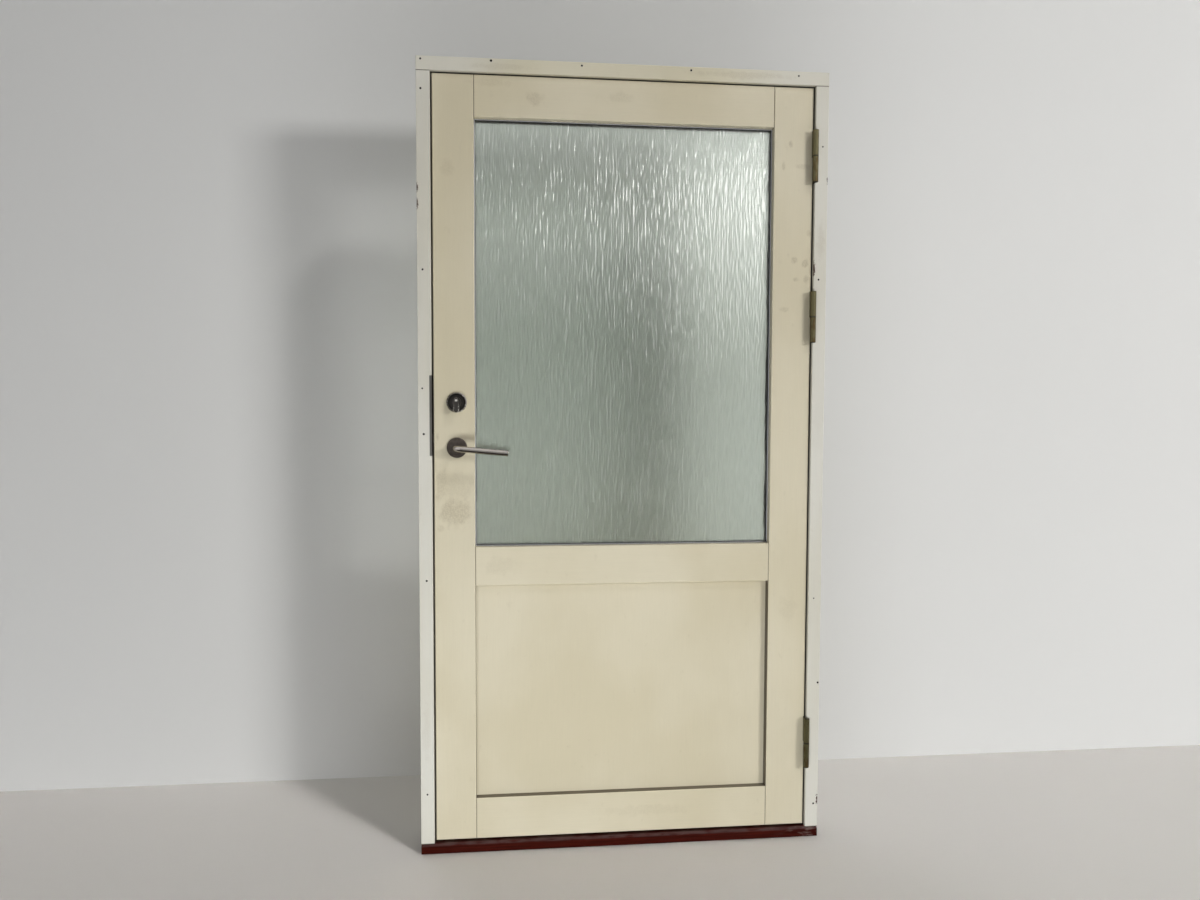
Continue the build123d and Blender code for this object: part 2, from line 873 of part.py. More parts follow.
lever_bore = lever_radius + sliding_clearance
lever_rose_points = [
    (lever_bore, 0),
    (rose_radius, 0),
    (rose_radius, rose_height - rose_edge),
    (rose_radius - rose_edge, rose_height),
    (lever_bore, rose_height),
]
for node, face, outward in (("front_lever_rose", leaf_front, -1), ("rear_lever_rose", leaf_back, 1)):
    rose_section, rose_axis = turned(spindle_x, face, lever_level, outward, lever_rose_points)
    with BuildPart() as rose:
        revolve(rose_section, axis=rose_axis)
    save(rose, node)


def rimmed_rose(bore):
    """Outline of a rose with a raised rim round a shallow dish."""
    return [
        (bore, 0),
        (rose_radius, 0),
        (rose_radius, turn_rose_height - rose_edge),
        (rose_radius - rose_edge, turn_rose_height),
        (rose_radius - rose_rim_width, turn_rose_height),
        (rose_radius - rose_rim_width - turn_rose_dish, turn_rose_height - turn_rose_dish),
        (bore, turn_rose_height - turn_rose_dish),
    ]


turn_shaft_bore = turn_boss_radius + sliding_clearance
cylinder_bore = cylinder_radius + sliding_clearance
for node, face, outward, bore in (
    ("turn_rose", leaf_front, -1, turn_shaft_bore),
    ("cylinder_rose", leaf_back, 1, cylinder_bore),
):
    rose_section, rose_axis = turned(spindle_x, face, turn_level, outward, rimmed_rose(bore))
    with BuildPart() as rose:
        revolve(rose_section, axis=rose_axis)
    save(rose, node)

# Levers: round bar bent square, drooping a little with age, on one square spindle
droop = math.radians(lever_droop_angle)
for node, face, outward in (("front_lever", leaf_front, -1), ("rear_lever", leaf_back, 1)):
    bar_y = face + outward * lever_stand_off
    bar_end = lever_length - lever_radius * math.sin(droop)
    corner = Vector(spindle_x, bar_y, lever_level)
    tip = corner + Vector(bar_end, 0, -bar_end * math.tan(droop))
    with BuildPart() as lever:
        with BuildLine() as lever_path:
            FilletPolyline((spindle_x, face, lever_level), corner, tip, radius=lever_bend_radius)
        lever_start = Plane(origin=(spindle_x, face, lever_level), x_dir=(1, 0, 0), z_dir=(0, outward, 0))
        with BuildSketch(lever_start):
            Circle(lever_radius)
        sweep()
        fillet(lever.edges().filter_by(GeomType.CIRCLE).sort_by(Axis.X)[-1], lever_end_round)
        half = spindle_width / 2 + running_clearance
        socket = sorted((face - outward * cut_overrun, face + outward * spindle_socket))
        block(
            (spindle_x - half, socket[0], lever_level - half),
            (spindle_x + half, socket[1], lever_level + half),
            Mode.SUBTRACT,
        )
    save(lever, node)

with BuildPart() as lever_spindle:
    block(
        (spindle_x - spindle_width / 2, leaf_front - spindle_socket, lever_level - spindle_width / 2),
        (spindle_x + spindle_width / 2, leaf_back + spindle_socket, lever_level + spindle_width / 2),
    )
save(lever_spindle, "lever_spindle")

# Thumb turn: a boss in the rose, a tapered grip that hangs from it and a square shaft to its cam
with BuildPart() as thumb_turn:
    rod(
        spindle_x, turn_level, leaf_front - turn_rose_height - turn_boss_height,
        leaf_front - sliding_clearance, turn_boss_radius,
    )
    with BuildSketch(upright(leaf_front - turn_rose_height - turn_boss_height)):
        with Locations((spindle_x, turn_level + turn_grip_rise)):
            Circle(turn_grip_top_radius)
        with Locations((spindle_x, turn_level - turn_grip_drop)):
            Circle(turn_grip_foot_radius)
        make_hull()
    extrude(amount=turn_grip_height)
    fillet(thumb_turn.faces().sort_by(Axis.Y)[0].edges(), turn_grip_round)
    block(
        (spindle_x - turn_shaft_width / 2, leaf_front - turn_rose_height, turn_level - turn_shaft_width / 2),
        (spindle_x + turn_shaft_width / 2, case_back, turn_level + turn_shaft_width / 2),
    )
save(thumb_turn, "thumb_turn")

# Key cylinder on the other face, with its plug's ring and key slot
cylinder_face = leaf_back + turn_rose_height - turn_rose_dish + cylinder_proud
with BuildPart() as key_cylinder:
    rod(spindle_x, turn_level, case_back + sliding_clearance, cylinder_face, cylinder_radius)
    rod(
        spindle_x, turn_level, cylinder_face - plug_ring_depth, cylinder_face + cut_overrun,
        plug_ring_radius + plug_ring_width, Mode.SUBTRACT,
    )
    rod(spindle_x, turn_level, cylinder_face - plug_ring_depth, cylinder_face, plug_ring_radius)
    block(
        (spindle_x - key_slot_width / 2, cylinder_face - key_slot_depth, turn_level - key_slot_height / 2),
        (spindle_x + key_slot_width / 2, cylinder_face + cut_overrun, turn_level + key_slot_height / 2),
        Mode.SUBTRACT,
    )
save(key_cylinder, "key_cylinder")
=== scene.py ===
"""Looks of a painted timber door in its frame: finishes, a rain-rippled pane, nail holes and a studio."""
import json
import math

import bmesh
import bpy
from bpy.props import FloatProperty, FloatVectorProperty, IntProperty, PointerProperty
from mathutils import Matrix, Vector

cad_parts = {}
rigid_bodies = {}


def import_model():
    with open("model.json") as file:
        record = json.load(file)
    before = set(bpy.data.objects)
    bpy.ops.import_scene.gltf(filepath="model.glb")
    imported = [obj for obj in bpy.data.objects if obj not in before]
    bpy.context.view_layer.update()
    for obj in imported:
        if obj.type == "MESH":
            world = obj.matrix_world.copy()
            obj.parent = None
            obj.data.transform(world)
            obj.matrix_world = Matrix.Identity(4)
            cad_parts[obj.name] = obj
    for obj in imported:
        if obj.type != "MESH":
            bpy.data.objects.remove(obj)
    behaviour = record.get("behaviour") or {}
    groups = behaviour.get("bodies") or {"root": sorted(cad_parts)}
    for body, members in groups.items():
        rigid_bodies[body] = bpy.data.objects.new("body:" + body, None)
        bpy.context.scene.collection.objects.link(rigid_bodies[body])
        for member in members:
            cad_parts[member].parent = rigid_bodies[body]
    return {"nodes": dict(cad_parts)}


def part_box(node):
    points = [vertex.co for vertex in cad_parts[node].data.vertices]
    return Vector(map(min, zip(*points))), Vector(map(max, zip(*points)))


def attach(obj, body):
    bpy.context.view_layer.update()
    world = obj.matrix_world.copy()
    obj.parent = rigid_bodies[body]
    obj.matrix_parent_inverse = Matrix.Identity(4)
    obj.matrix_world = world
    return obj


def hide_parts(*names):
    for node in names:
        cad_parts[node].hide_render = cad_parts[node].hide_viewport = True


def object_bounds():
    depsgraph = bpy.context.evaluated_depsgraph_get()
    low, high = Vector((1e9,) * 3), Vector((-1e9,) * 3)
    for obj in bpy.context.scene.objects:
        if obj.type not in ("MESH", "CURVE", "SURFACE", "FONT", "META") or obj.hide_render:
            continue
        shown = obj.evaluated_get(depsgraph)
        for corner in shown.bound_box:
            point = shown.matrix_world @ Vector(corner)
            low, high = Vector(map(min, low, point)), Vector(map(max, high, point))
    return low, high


bl_info = {
    "name": "Framed Glass Door",
    "version": (1, 0, 0),
    "blender": (4, 5, 0),
    "location": "View3D > Sidebar > Glass Door",
    "description": "Dresses a packed timber door: aged paint, rippled glass, metalwork and a plain studio",
    "category": "Object",
}

for leftover in list(bpy.data.objects):
    bpy.data.objects.remove(leftover)
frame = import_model()
nodes = frame["nodes"]
cad_low, cad_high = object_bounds()

# Marks on the paint, in metres across and up the door: x, z, half width, half height, strength
LEAF_SMUDGES = [
    (-0.448, 0.918, 0.056, 0.052, 0.50),
    (-0.486, 0.985, 0.024, 0.055, 0.34),
    (-0.445, 0.985, 0.060, 0.045, 0.20),
    (-0.488, 0.874, 0.016, 0.014, 0.30),
    (-0.496, 1.116, 0.008, 0.020, 0.45),
    (-0.468, 1.812, 0.026, 0.026, 0.24),
    (-0.239, 1.994, 0.032, 0.020, 0.40),
    (-0.355, 2.030, 0.060, 0.014, 0.22),
    (-0.013, 2.006, 0.050, 0.016, 0.20),
    (0.443, 1.900, 0.008, 0.012, 0.55),
    (0.424, 1.842, 0.006, 0.014, 0.50),
    (0.476, 1.842, 0.020, 0.008, 0.30),
    (0.497, 1.664, 0.008, 0.012, 0.40),
    (0.458, 1.593, 0.014, 0.012, 0.50),
    (0.489, 1.585, 0.010, 0.012, 0.55),
    (0.464, 1.540, 0.014, 0.008, 0.50),
    (0.492, 1.542, 0.010, 0.016, 0.45),
    (0.432, 1.460, 0.020, 0.008, 0.30),
    (0.452, 0.640, 0.034, 0.050, 0.14),
    (-0.330, 0.772, 0.060, 0.030, 0.16),
    (0.060, 0.090, 0.160, 0.020, 0.14),
]
FRAME_SMUDGES = [
    (0.300, 2.072, 0.170, 0.012, 0.30),
    (-0.330, 2.068, 0.110, 0.010, 0.22),
    (0.527, 1.640, 0.016, 0.060, 0.26),
    (-0.528, 0.330, 0.016, 0.090, 0.16),
]
FRAME_CHIPS = [
    (0.5095, 1.567, 0.0045, 0.026, 1.0),
    (0.5420, 0.104, 0.0035, 0.020, 1.0),
    (0.5430, 1.805, 0.0020, 0.012, 1.0),
    (-0.5430, 1.757, 0.0050, 0.014, 1.0),
    (-0.5430, 1.716, 0.0050, 0.018, 1.0),
]
# Old nail holes in the frame's face: x, z
NAIL_HOLES = [
    (-0.532, 2.080), (-0.353, 2.082), (-0.119, 2.079), (0.169, 2.079), (0.460, 2.076),
    (-0.532, 2.006), (-0.530, 1.548), (-0.533, 1.242), (-0.530, 1.123), (-0.525, 0.737),
    (-0.527, 0.163), (0.529, 1.893), (0.523, 1.540), (0.524, 0.671), (0.539, 0.435), (0.532, 0.093),
]

FRAME_TIMBERS = {"frame_head": "x", "latch_jamb": "z", "hinge_jamb": "z"}
LEAF_TIMBERS = {
    "latch_stile": "z", "hinge_stile": "z", "top_rail": "x", "middle_rail": "x", "bottom_rail": "x",
    "lower_panel": "z",
}
# Timbers whose ends meet no joint, and joints darker than the usual one
FREE_ENDS = ("frame_head", "latch_stile", "hinge_stile", "lower_panel")
USUAL_SEAM = 0.85
SEAM_STRENGTHS = {"top_rail": 1.0, "latch_jamb": 1.0, "hinge_jamb": 1.0}
BEAD_GRAINS = {"top": "x", "bottom": "x", "latch_side": "z", "hinge_side": "z"}
WEATHER_SEALS = ("head_seal", "latch_side_seal", "hinge_side_seal", "threshold_seal")
SCREW_SETS = ("strike_screws", "frame_hinge_screws", "leaf_hinge_screws", "faceplate_screws")
LOCK_WORKS = (
    "lock_case", "lock_cover", "lock_faceplate", "latch_bolt", "dead_bolt", "lever_follower",
    "turn_follower", "lever_spindle", "hinge_pins",
)


def shade(red, green, blue):
    """Linear colour from the 0 to 255 values that a paint chart gives."""
    def linear(value):
        share = value / 255
        return share / 12.92 if share <= 0.04045 else ((share + 0.055) / 1.055) ** 2.4
    return linear(red), linear(green), linear(blue)


def tinted(colour, amount):
    """A colour with its channels scaled by one number or by three."""
    scale = amount if isinstance(amount, tuple) else (amount,) * 3
    return tuple(channel * share for channel, share in zip(colour, scale))


class Field:
    """A node's output whose arithmetic adds Math nodes to the same tree."""

    def __init__(self, sheet, socket):
        self.sheet = sheet
        self.socket = socket

    def __add__(self, other):
        return self.sheet.maths("ADD", self, other)

    def __radd__(self, other):
        return self.sheet.maths("ADD", other, self)

    def __sub__(self, other):
        return self.sheet.maths("SUBTRACT", self, other)

    def __rsub__(self, other):
        return self.sheet.maths("SUBTRACT", other, self)

    def __mul__(self, other):
        return self.sheet.maths("MULTIPLY", self, other)

    def __rmul__(self, other):
        return self.sheet.maths("MULTIPLY", other, self)

    def __truediv__(self, other):
        return self.sheet.maths("DIVIDE", self, other)

    def __rtruediv__(self, other):
        return self.sheet.maths("DIVIDE", other, self)

    def __pow__(self, other):
        return self.sheet.maths("POWER", self, other)

    def __lt__(self, other):
        return self.sheet.maths("LESS_THAN", self, other)

    def __abs__(self):
        return self.sheet.maths("ABSOLUTE", self)

    def least(self, other):
        """The smaller of two values."""
        return self.sheet.maths("MINIMUM", self, other)

    def most(self, other):
        """The larger of two values."""
        return self.sheet.maths("MAXIMUM", self, other)

    def rise(self, low, high):
        """Smooth step from 0 at low to 1 at high."""
        sockets = {"Value": self, "From Min": low, "From Max": high}
        return self.sheet.node("ShaderNodeMapRange", {"interpolation_type": "SMOOTHSTEP"}, sockets)

    def fall(self, low, high):
        """Smooth step from 1 at low to 0 at high."""
        return 1 - self.rise(low, high)


class Sheet:
    """A node tree, and the one method that adds nodes to it."""

    def __init__(self, tree):
        self.tree = tree

    def node(self, kind, options=None, sockets=None, output=0):
        """Add a node: its options first, then values or links of its sockets. Gives one of its outputs."""
        made = self.tree.nodes.new(kind)
        for name, value in (options or {}).items():
            setattr(made, name, value)
        for key, value in (sockets or {}).items():
            self.feed(made.inputs[key], value)
        return Field(self, made.outputs[output])

    def feed(self, socket, value):
        """Link a field to a socket, or set the socket's own value."""
        if isinstance(value, Field):
            self.tree.links.new(value.socket, socket)
        elif socket.type == "RGBA":
            socket.default_value = (*value[:3], 1.0)
        else:
            socket.default_value = value

    def maths(self, operation, *values):
        """Math node on one or two values."""
        return self.node("ShaderNodeMath", {"operation": operation}, dict(enumerate(values)))

    def split(self, vector):
        """The three parts of a vector."""
        parts = self.node("ShaderNodeSeparateXYZ", sockets={0: vector}).socket.node.outputs
        return tuple(Field(self, part) for part in parts)

    def seen(self):
        """1 for what the eye meets, straight or by way of metal and glass, and 0 for other light."""
        rays = self.node("ShaderNodeLightPath").socket.node.outputs
        shown = Field(self, rays["Is Camera Ray"])
        for kind in ("Is Glossy Ray", "Is Transmission Ray"):
            shown = shown.most(Field(self, rays[kind]))
        return shown

    def noise_at(self, vector, scales, detail, seed):
        """Noise with its own scale along each axis, in cells per metre."""
        scaled = self.node("ShaderNodeVectorMath", {"operation": "MULTIPLY"}, {0: vector, 1: scales})
        sockets = {"Vector": scaled, "Scale": 1.0, "Detail": detail, "W": seed}
        return self.node("ShaderNodeTexNoise", {"noise_dimensions": "4D"}, sockets)


class Finish(Sheet):
    """A material: the Principled shader with its fixed values, and the fields that vary over the surface."""

    def __init__(self, name, fixed):
        self.material = bpy.data.materials.new(name)
        self.material.use_nodes = True
        super().__init__(self.material.node_tree)
        self.shader = self.tree.nodes["Principled BSDF"]
        for socket, value in fixed.items():
            self.feed(self.shader.inputs[socket], value)
        self.place = self.node("ShaderNodeTexCoord", output="Object")
        self.x, self.y, self.z = self.split(self.place)

    def noise(self, scales, detail=2.0, seed=0.0):
        """Noise over the piece."""
        return self.noise_at(self.place, scales, detail, seed)

    def mix(self, share, first, second):
        """Colour between two colours."""
        return self.node("ShaderNodeMix", {"data_type": "RGBA"}, {0: share, 6: first, 7: second}, output=2)

    def patch(self, x, z, half_width, half_height, ragged, noise):
        """Soft spot on the door's face, its rim broken up by noise."""
        across = (self.x - x) / half_width
        up = (self.z - z) / half_height
        reach = (across * across + up * up) ** 0.5
        return (reach + (noise - 0.5) * ragged).fall(0.35, 1.0)

    def wear(self, **fields):
        """Feed the shader's sockets by their names in lower case, such as base_color."""
        for name, field in fields.items():
            self.feed(self.shader.inputs[name.replace("_", " ").title()], field)

    def glow(self, level):
        """White light of its own, where 1 is white, that isn't sampled as a lamp."""
        self.feed(self.shader.inputs["Emission Strength"], 1.0)
        self.wear(emission_color=self.mix(level, (0.0, 0.0, 0.0), (1.0, 1.0, 1.0)))
        self.material.cycles.emission_sampling = "NONE"

    def relief(self, height):
        """Bump from a height in metres."""
        sockets = {"Strength": 1.0, "Distance": 1.0, "Height": height}
        self.feed(self.shader.inputs["Normal"], self.node("ShaderNodeBump", sockets=sockets))


class Recipe(Sheet):
    """A Geometry Nodes tree with named inputs, run once on an object and turned into a plain mesh."""

    def __init__(self, name, inputs):
        super().__init__(bpy.data.node_groups.new(name, "GeometryNodeTree"))
        face = self.tree.interface
        face.new_socket("Geometry", in_out="INPUT", socket_type="NodeSocketGeometry")
        for label in inputs:
            face.new_socket(label, in_out="INPUT", socket_type="NodeSocketFloat")
        face.new_socket("Geometry", in_out="OUTPUT", socket_type="NodeSocketGeometry")
        self.inputs = inputs
        self.entry = self.tree.nodes.new("NodeGroupInput")
        self.exit = self.tree.nodes.new("NodeGroupOutput")

    def given(self, label):
        """One of the tree's inputs."""
        return Field(self, self.entry.outputs[label])

    def end(self, geometry):
        """Realize what was made and hand it out."""
        made = self.node("GeometryNodeRealizeInstances", sockets={0: geometry})
        self.feed(self.exit.inputs[0], made)

    def run(self, piece):
        """Set the inputs, evaluate the tree on a piece and keep the result as its mesh."""
        modifier = piece.modifiers.new(self.tree.name, "NODES")
        modifier.node_group = self.tree
        for item in self.tree.interface.items_tree:
            if item.in_out == "INPUT" and item.name in self.inputs:
                modifier[item.identifier] = self.inputs[item.name]
        depsgraph = bpy.context.evaluated_depsgraph_get()
        made = bpy.data.meshes.new_from_object(piece.evaluated_get(depsgraph), depsgraph=depsgraph)
        piece.modifiers.remove(modifier)
        piece.data = made
        made.name = piece.name


def settings(name):
    """One of the door's property groups."""
    return getattr(bpy.context.scene, name)


def dress(node, finish):
    """Give a CAD node its finish."""
    nodes[node].material_slots[0].material = finish.material


def add_piece(name, mesh):
    """Object at the origin for a mesh that is already in place."""
    piece = bpy.data.objects.new(name, mesh)
    bpy.context.scene.collection.objects.link(piece)
    return piece


class PaintSettings(bpy.types.PropertyGroup):
    """Colours of the painted and stained timber."""
    leaf_colour: FloatVectorProperty(
        name="Leaf Colour", description="Cream paint of the leaf", subtype="COLOR", size=3,
        default=shade(211, 203, 180))
    frame_colour: FloatVectorProperty(
        name="Frame Colour", description="Off-white paint of the frame", subtype="COLOR", size=3,
        default=shade(214, 212, 203))
    head_colour: FloatVectorProperty(
        name="Head Colour", description="Yellowed paint of the frame's head", subtype="COLOR", size=3,
        default=shade(211, 205, 184))
    chip_colour: FloatVectorProperty(
        name="Chip Colour", description="Dark old coat that shows where paint has chipped",
        subtype="COLOR", size=3, default=shade(70, 50, 40))
    smudge_colour: FloatVectorProperty(
        name="Smudge Colour", description="Grey-brown hand dirt", subtype="COLOR", size=3,
        default=shade(150, 137, 112))
    # Colour of the dark joints, and also of the painted shade in the gap and the panel's recess
    seam_and_shade_colour: FloatVectorProperty(
        name="Seam Colour", description="Dark dirt in the joints", subtype="COLOR", size=3,
        default=shade(72, 60, 46))
    stain_colour: FloatVectorProperty(
        name="Threshold Colour", description="Dark red-brown lacquer of the threshold", subtype="COLOR",
        size=3, default=shade(60, 16, 9))
    stroke_width: FloatProperty(
        name="Stroke Width", description="Width of a brush stroke in the paint", unit="LENGTH",
        default=0.0018)


class GlassSettings(bpy.types.PropertyGroup):
    """Tint and rain ripple of the panes."""
    tint: FloatVectorProperty(
        name="Tint", description="Grey-green tint of one pane", subtype="COLOR", size=3,
        default=(0.875, 0.925, 0.88))
    ripple_depth: FloatProperty(
        name="Ripple Depth", description="Height of the ripple from trough to crest", unit="LENGTH",
        default=0.0036)
    streak_width: FloatProperty(
        name="Streak Width", description="Width of one streak", unit="LENGTH", default=0.0046)
    streak_length: FloatProperty(
        name="Streak Length", description="Length of one streak", unit="LENGTH", default=0.042)
    passed_light: FloatProperty(
        name="Passed Light", description="Share of a lamp's light that the panes let through",
        subtype="FACTOR", default=0.36)
    columns: IntProperty(name="Columns", description="Divisions across the pane", default=520)
    rows: IntProperty(name="Rows", description="Divisions up the pane", default=164)
    seed: FloatProperty(name="Seed", description="Choice of ripple", default=3.0)


class MetalSettings(bpy.types.PropertyGroup):
    """Colours of the metalwork."""
    brass: FloatVectorProperty(
        name="Hinge Colour", description="Olive patina of the hinges", subtype="COLOR", size=3,
        default=shade(102, 96, 68))
    lever: FloatVectorProperty(
        name="Lever Colour", description="Polished stainless steel", subtype="COLOR", size=3,
        default=shade(172, 166, 160))
    rose: FloatVectorProperty(
        name="Rose Colour", description="Dark brown-grey lever roses", subtype="COLOR", size=3,
        default=shade(92, 84, 78))
    # Colour of the painted highlights on the thumb turn's rim and grip, shown as rubbed chrome
    rubbed_and_highlights: FloatVectorProperty(
        name="Rubbed Chrome", description="Bright chrome where hands rub it", subtype="COLOR", size=3,
        default=shade(226, 222, 214))
    turn: FloatVectorProperty(
        name="Turn Colour", description="Dark chrome of the thumb turn", subtype="COLOR", size=3,
        default=shade(112, 108, 103))
    steel: FloatVectorProperty(
        name="Lock Colour", description="Plated steel of the lock and strike", subtype="COLOR", size=3,
        default=shade(150, 148, 142))
    nail_radius: FloatProperty(
        name="Nail Hole Radius", description="Radius of an old nail hole", unit="LENGTH", default=0.0027)


class StageSettings(bpy.types.PropertyGroup):
    """Camera, floor and backdrop."""
    camera_place: FloatVectorProperty(
        name="Camera Place", description="Where the camera stands", subtype="TRANSLATION", size=3,
        default=(-0.3057, -2.3825, 1.2042))
    camera_yaw: FloatProperty(
        name="Camera Yaw", description="Turn to the right of straight ahead", subtype="ANGLE",
        default=math.radians(5.825))
    camera_pitch: FloatProperty(
        name="Camera Pitch", description="Tilt above the horizon", subtype="ANGLE",
        default=math.radians(-3.026))
    camera_roll: FloatProperty(
        name="Camera Roll", description="Roll about the line of sight", subtype="ANGLE",
        default=math.radians(0.188))
    focal_length: FloatProperty(
        name="Focal Length", description="Lens on a sensor 36 mm wide, in millimetres", default=26.4)
    floor_colour: FloatVectorProperty(
        name="Floor Colour", description="Plain pale floor", subtype="COLOR", size=3,
        default=shade(205, 203, 199))
    backdrop_colour: FloatVectorProperty(
        name="Backdrop Colour", description="Plain pale backdrop", subtype="COLOR", size=3,
        default=shade(229, 230, 229))
    backdrop_gap: FloatProperty(
        name="Backdrop Gap", description="Space between the frame's back and the backdrop", unit="LENGTH",
        default=0.38)


def gap_painted_shade(finish):
    """Share and colour of painted shade on the frame, just inside the gap round the leaf."""
    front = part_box("hinge_stile")[0].y
    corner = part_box("hinge_stile")[1]
    inner = (-0.0004, -0.0002)
    outer = (0.0045, 0.0048)
    beside = abs(finish.x) - corner.x
    above = finish.z - corner.z
    gap = beside.rise(*inner).least(beside.fall(*outer))
    gap = gap.most(above.rise(*inner).least(above.fall(*outer)))
    inside = finish.y - front
    share = gap * inside.rise(0.0008, 0.002) * inside.fall(0.012, 0.024)
    return share * 0.95, tinted(settings("door_paint").seam_and_shade_colour, 0.3)


def recess_painted_shade(finish):
    """Share and colour of painted shade on the leaf, in the panel's recess and on the arris beside the
    latch.
    """
    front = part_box("hinge_stile")[0].y
    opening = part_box("hinge_stile")[0].x
    latch_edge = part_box("latch_stile")[0].x
    panel_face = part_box("lower_panel")[0].y
    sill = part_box("bottom_rail")[1].z
    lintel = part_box("middle_rail")[0].z
    skin = (0.0003, 0.0006)
    inside = finish.y - front
    sides = abs(abs(finish.x) - opening).fall(*skin).most(abs(finish.z - sill).fall(*skin))
    sides = sides * inside.rise(0.0008, 0.002)
    # Painted shadow: a dark band on the panel along the hinge side of its recess
    corner = (opening - finish.x).fall(0.0022, 0.0032) * abs(finish.y - panel_face).fall(0.0002, 0.0004)
    panel_part = (sill - finish.z).fall(0.0002, 0.0006) * (finish.z - lintel).fall(0.0002, 0.0006)
    # Painted shade: the latch stile's front arris darkened, widening the dark line of the gap
    arris = (finish.x - latch_edge).fall(0.0010, 0.0020) * inside.fall(0.0002, 0.0008)
    share = sides.most(corner) * panel_part + arris
    return share * 0.85, settings("door_paint").seam_and_shade_colour


def painted_timber(node, colour, grain, crevice_shade, smudges, chips=()):
    """Aged brush paint on one timber: strokes along the grain, clouding, grime at the rim, painted
    highlights on the arrises along the grain, painted shade in crevices, marks, chips.
    """
    paint = settings("door_paint")
    low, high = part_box(node)
    finish = Finish(f"{node}_paint", {"Specular IOR Level": 0.4})
    across = 1 / paint.stroke_width
    along = across / 40
    scales = {"x": (along, across, across), "z": (across, across, along)}[grain]
    strokes = finish.noise(scales, 3.0)
    clouds = finish.noise((3.2, 3.2, 2.1), 4.0, seed=1.0)
    grime = finish.noise((55.0, 55.0, 40.0), 5.0, seed=2.0)
    ends = {
        "x": (finish.x - low.x).least(high.x - finish.x),
        "z": (finish.z - low.z).least(high.z - finish.z),
    }
    sides = {"x": ends["z"], "z": ends["x"]}
    rim = ends["x"].least(ends["z"])
    face = finish.y.fall(low.y + 0.002, low.y + 0.004)

    tone = finish.mix(clouds.rise(0.34, 0.66), tinted(colour, (0.93, 0.915, 0.87)), tinted(colour, 1.02))
    tone = finish.mix(strokes.rise(0.3, 0.75) * 0.10, tone, tinted(colour, 0.72))
    tone = finish.mix(rim.fall(0.0, 0.005) * grime.rise(0.40, 0.75) * 0.22, tone, paint.smudge_colour)
    tone = finish.mix(grime.rise(0.62, 0.8) * 0.12, tone, paint.smudge_colour)
    # Painted highlight: the arrises along the grain lighter, as where they catch the light
    tone = finish.mix(sides[grain].fall(0.0006, 0.0018) * 0.6, tone, tinted(colour, 1.32))
    if node not in FREE_ENDS:
        seam = ends[grain].fall(0.0014, 0.0026) * ends[grain].rise(0.00005, 0.0002)
        tone = finish.mix(seam * SEAM_STRENGTHS.get(node, USUAL_SEAM), tone, paint.seam_and_shade_colour)
    if node == "frame_head":
        tone = finish.mix(abs(finish.x).rise(0.24, 0.46) * 0.75, tone, paint.frame_colour)
    # Painted shade in the gap or the recess, from the function passed in
    share, dark = crevice_shade(finish)
    tone = finish.mix(share, tone, dark)
    specks = finish.noise((330.0, 330.0, 260.0), 6.0, seed=5.0)
    flakes = finish.noise((420.0, 420.0, 260.0), 4.0)
    dirt = face * 0
    for x, z, half_width, half_height, strength in smudges:
        if low.x - half_width < x < high.x + half_width and low.z - half_height < z < high.z + half_height:
            spot = finish.patch(x, z, half_width, half_height, 1.8, grime)
            dirt = dirt.most(spot * strength)
    dirt = dirt * face * (0.35 + specks.rise(0.36, 0.62) * 0.5)
    tone = finish.mix(dirt, tone, paint.smudge_colour)
    flecks = specks.rise(0.735, 0.76) * face
    tone = finish.mix(flecks * 0.5, tone, paint.seam_and_shade_colour)
    bare = face * 0
    for x, z, half_width, half_height, strength in chips:
        if low.x - half_width < x < high.x + half_width and low.z < z < high.z:
            spot = finish.patch(x, z, half_width, half_height, 2.6, flakes)
            bare = bare.most(spot.rise(0.40, 0.55) * strength)
    bare = bare * face * specks.rise(0.34, 0.46)
    tone = finish.mix(bare, tone, paint.chip_colour)
    finish.wear(base_color=tone, roughness=0.36 + clouds * 0.16 + dirt * 0.12 + bare * 0.2)
    peel = finish.noise((650.0,) * 3, 1.0, seed=3.0)
    finish.relief(strokes * 0.00007 + peel * 0.00002 - bare * 0.0002)
    return finish


def lacquered_threshold():
    """Dark stain under lacquer thinned with use: grain along the length, a painted grey reflection along the
    nose, and scuffs at the hinge end.
    """
    paint = settings("door_paint")
    low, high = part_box("threshold")
    finish = Finish("threshold_lacquer", {"Specular IOR Level": 0.05, "Coat Roughness": 0.18})
    grain = finish.noise((9.0, 260.0, 260.0), 5.0)
    wear = finish.noise((26.0, 90.0, 90.0), 5.0, seed=4.0)
    stain = paint.stain_colour
    tone = finish.mix(grain.rise(0.3, 0.75), tinted(stain, 0.55), tinted(stain, 1.25))
    # Painted reflection: the nose's top front edge greyed, broken up by the wear noise
    nose = finish.y.fall(low.y + 0.004, low.y + 0.0075) * finish.z.rise(0.018, 0.024)
    tone = finish.mix(nose * wear.rise(0.3, 0.6) * 0.6, tone, shade(88, 70, 68))
    scuffed = finish.x.rise(high.x - 0.13, high.x - 0.02) * wear.rise(0.5, 0.62)
    tone = finish.mix(scuffed * 0.45, tone, shade(128, 112, 106))
    dust = finish.z.rise(0.0262, 0.0269) * wear.rise(0.35, 0.7)
    tone = finish.mix(dust * 0.25, tone, shade(130, 118, 106))
    finish.wear(base_color=tone, roughness=0.34 + wear * 0.2 + scuffed * 0.2,
                coat_weight=0.04 - scuffed * 0.03)
    finish.relief(grain * 0.00012)
    return finish


def bare_wood():
    """Pale unpainted softwood."""
    finish = Finish("bare_pine", {"Specular IOR Level": 0.3})
    grain = finish.noise((12.0, 420.0, 420.0), 4.0)
    tone = finish.mix(grain.rise(0.3, 0.7), shade(186, 148, 102), shade(214, 182, 138))
    finish.wear(base_color=tone, roughness=0.62 + grain * 0.15)
    finish.relief(grain * 0.00008)
    return finish


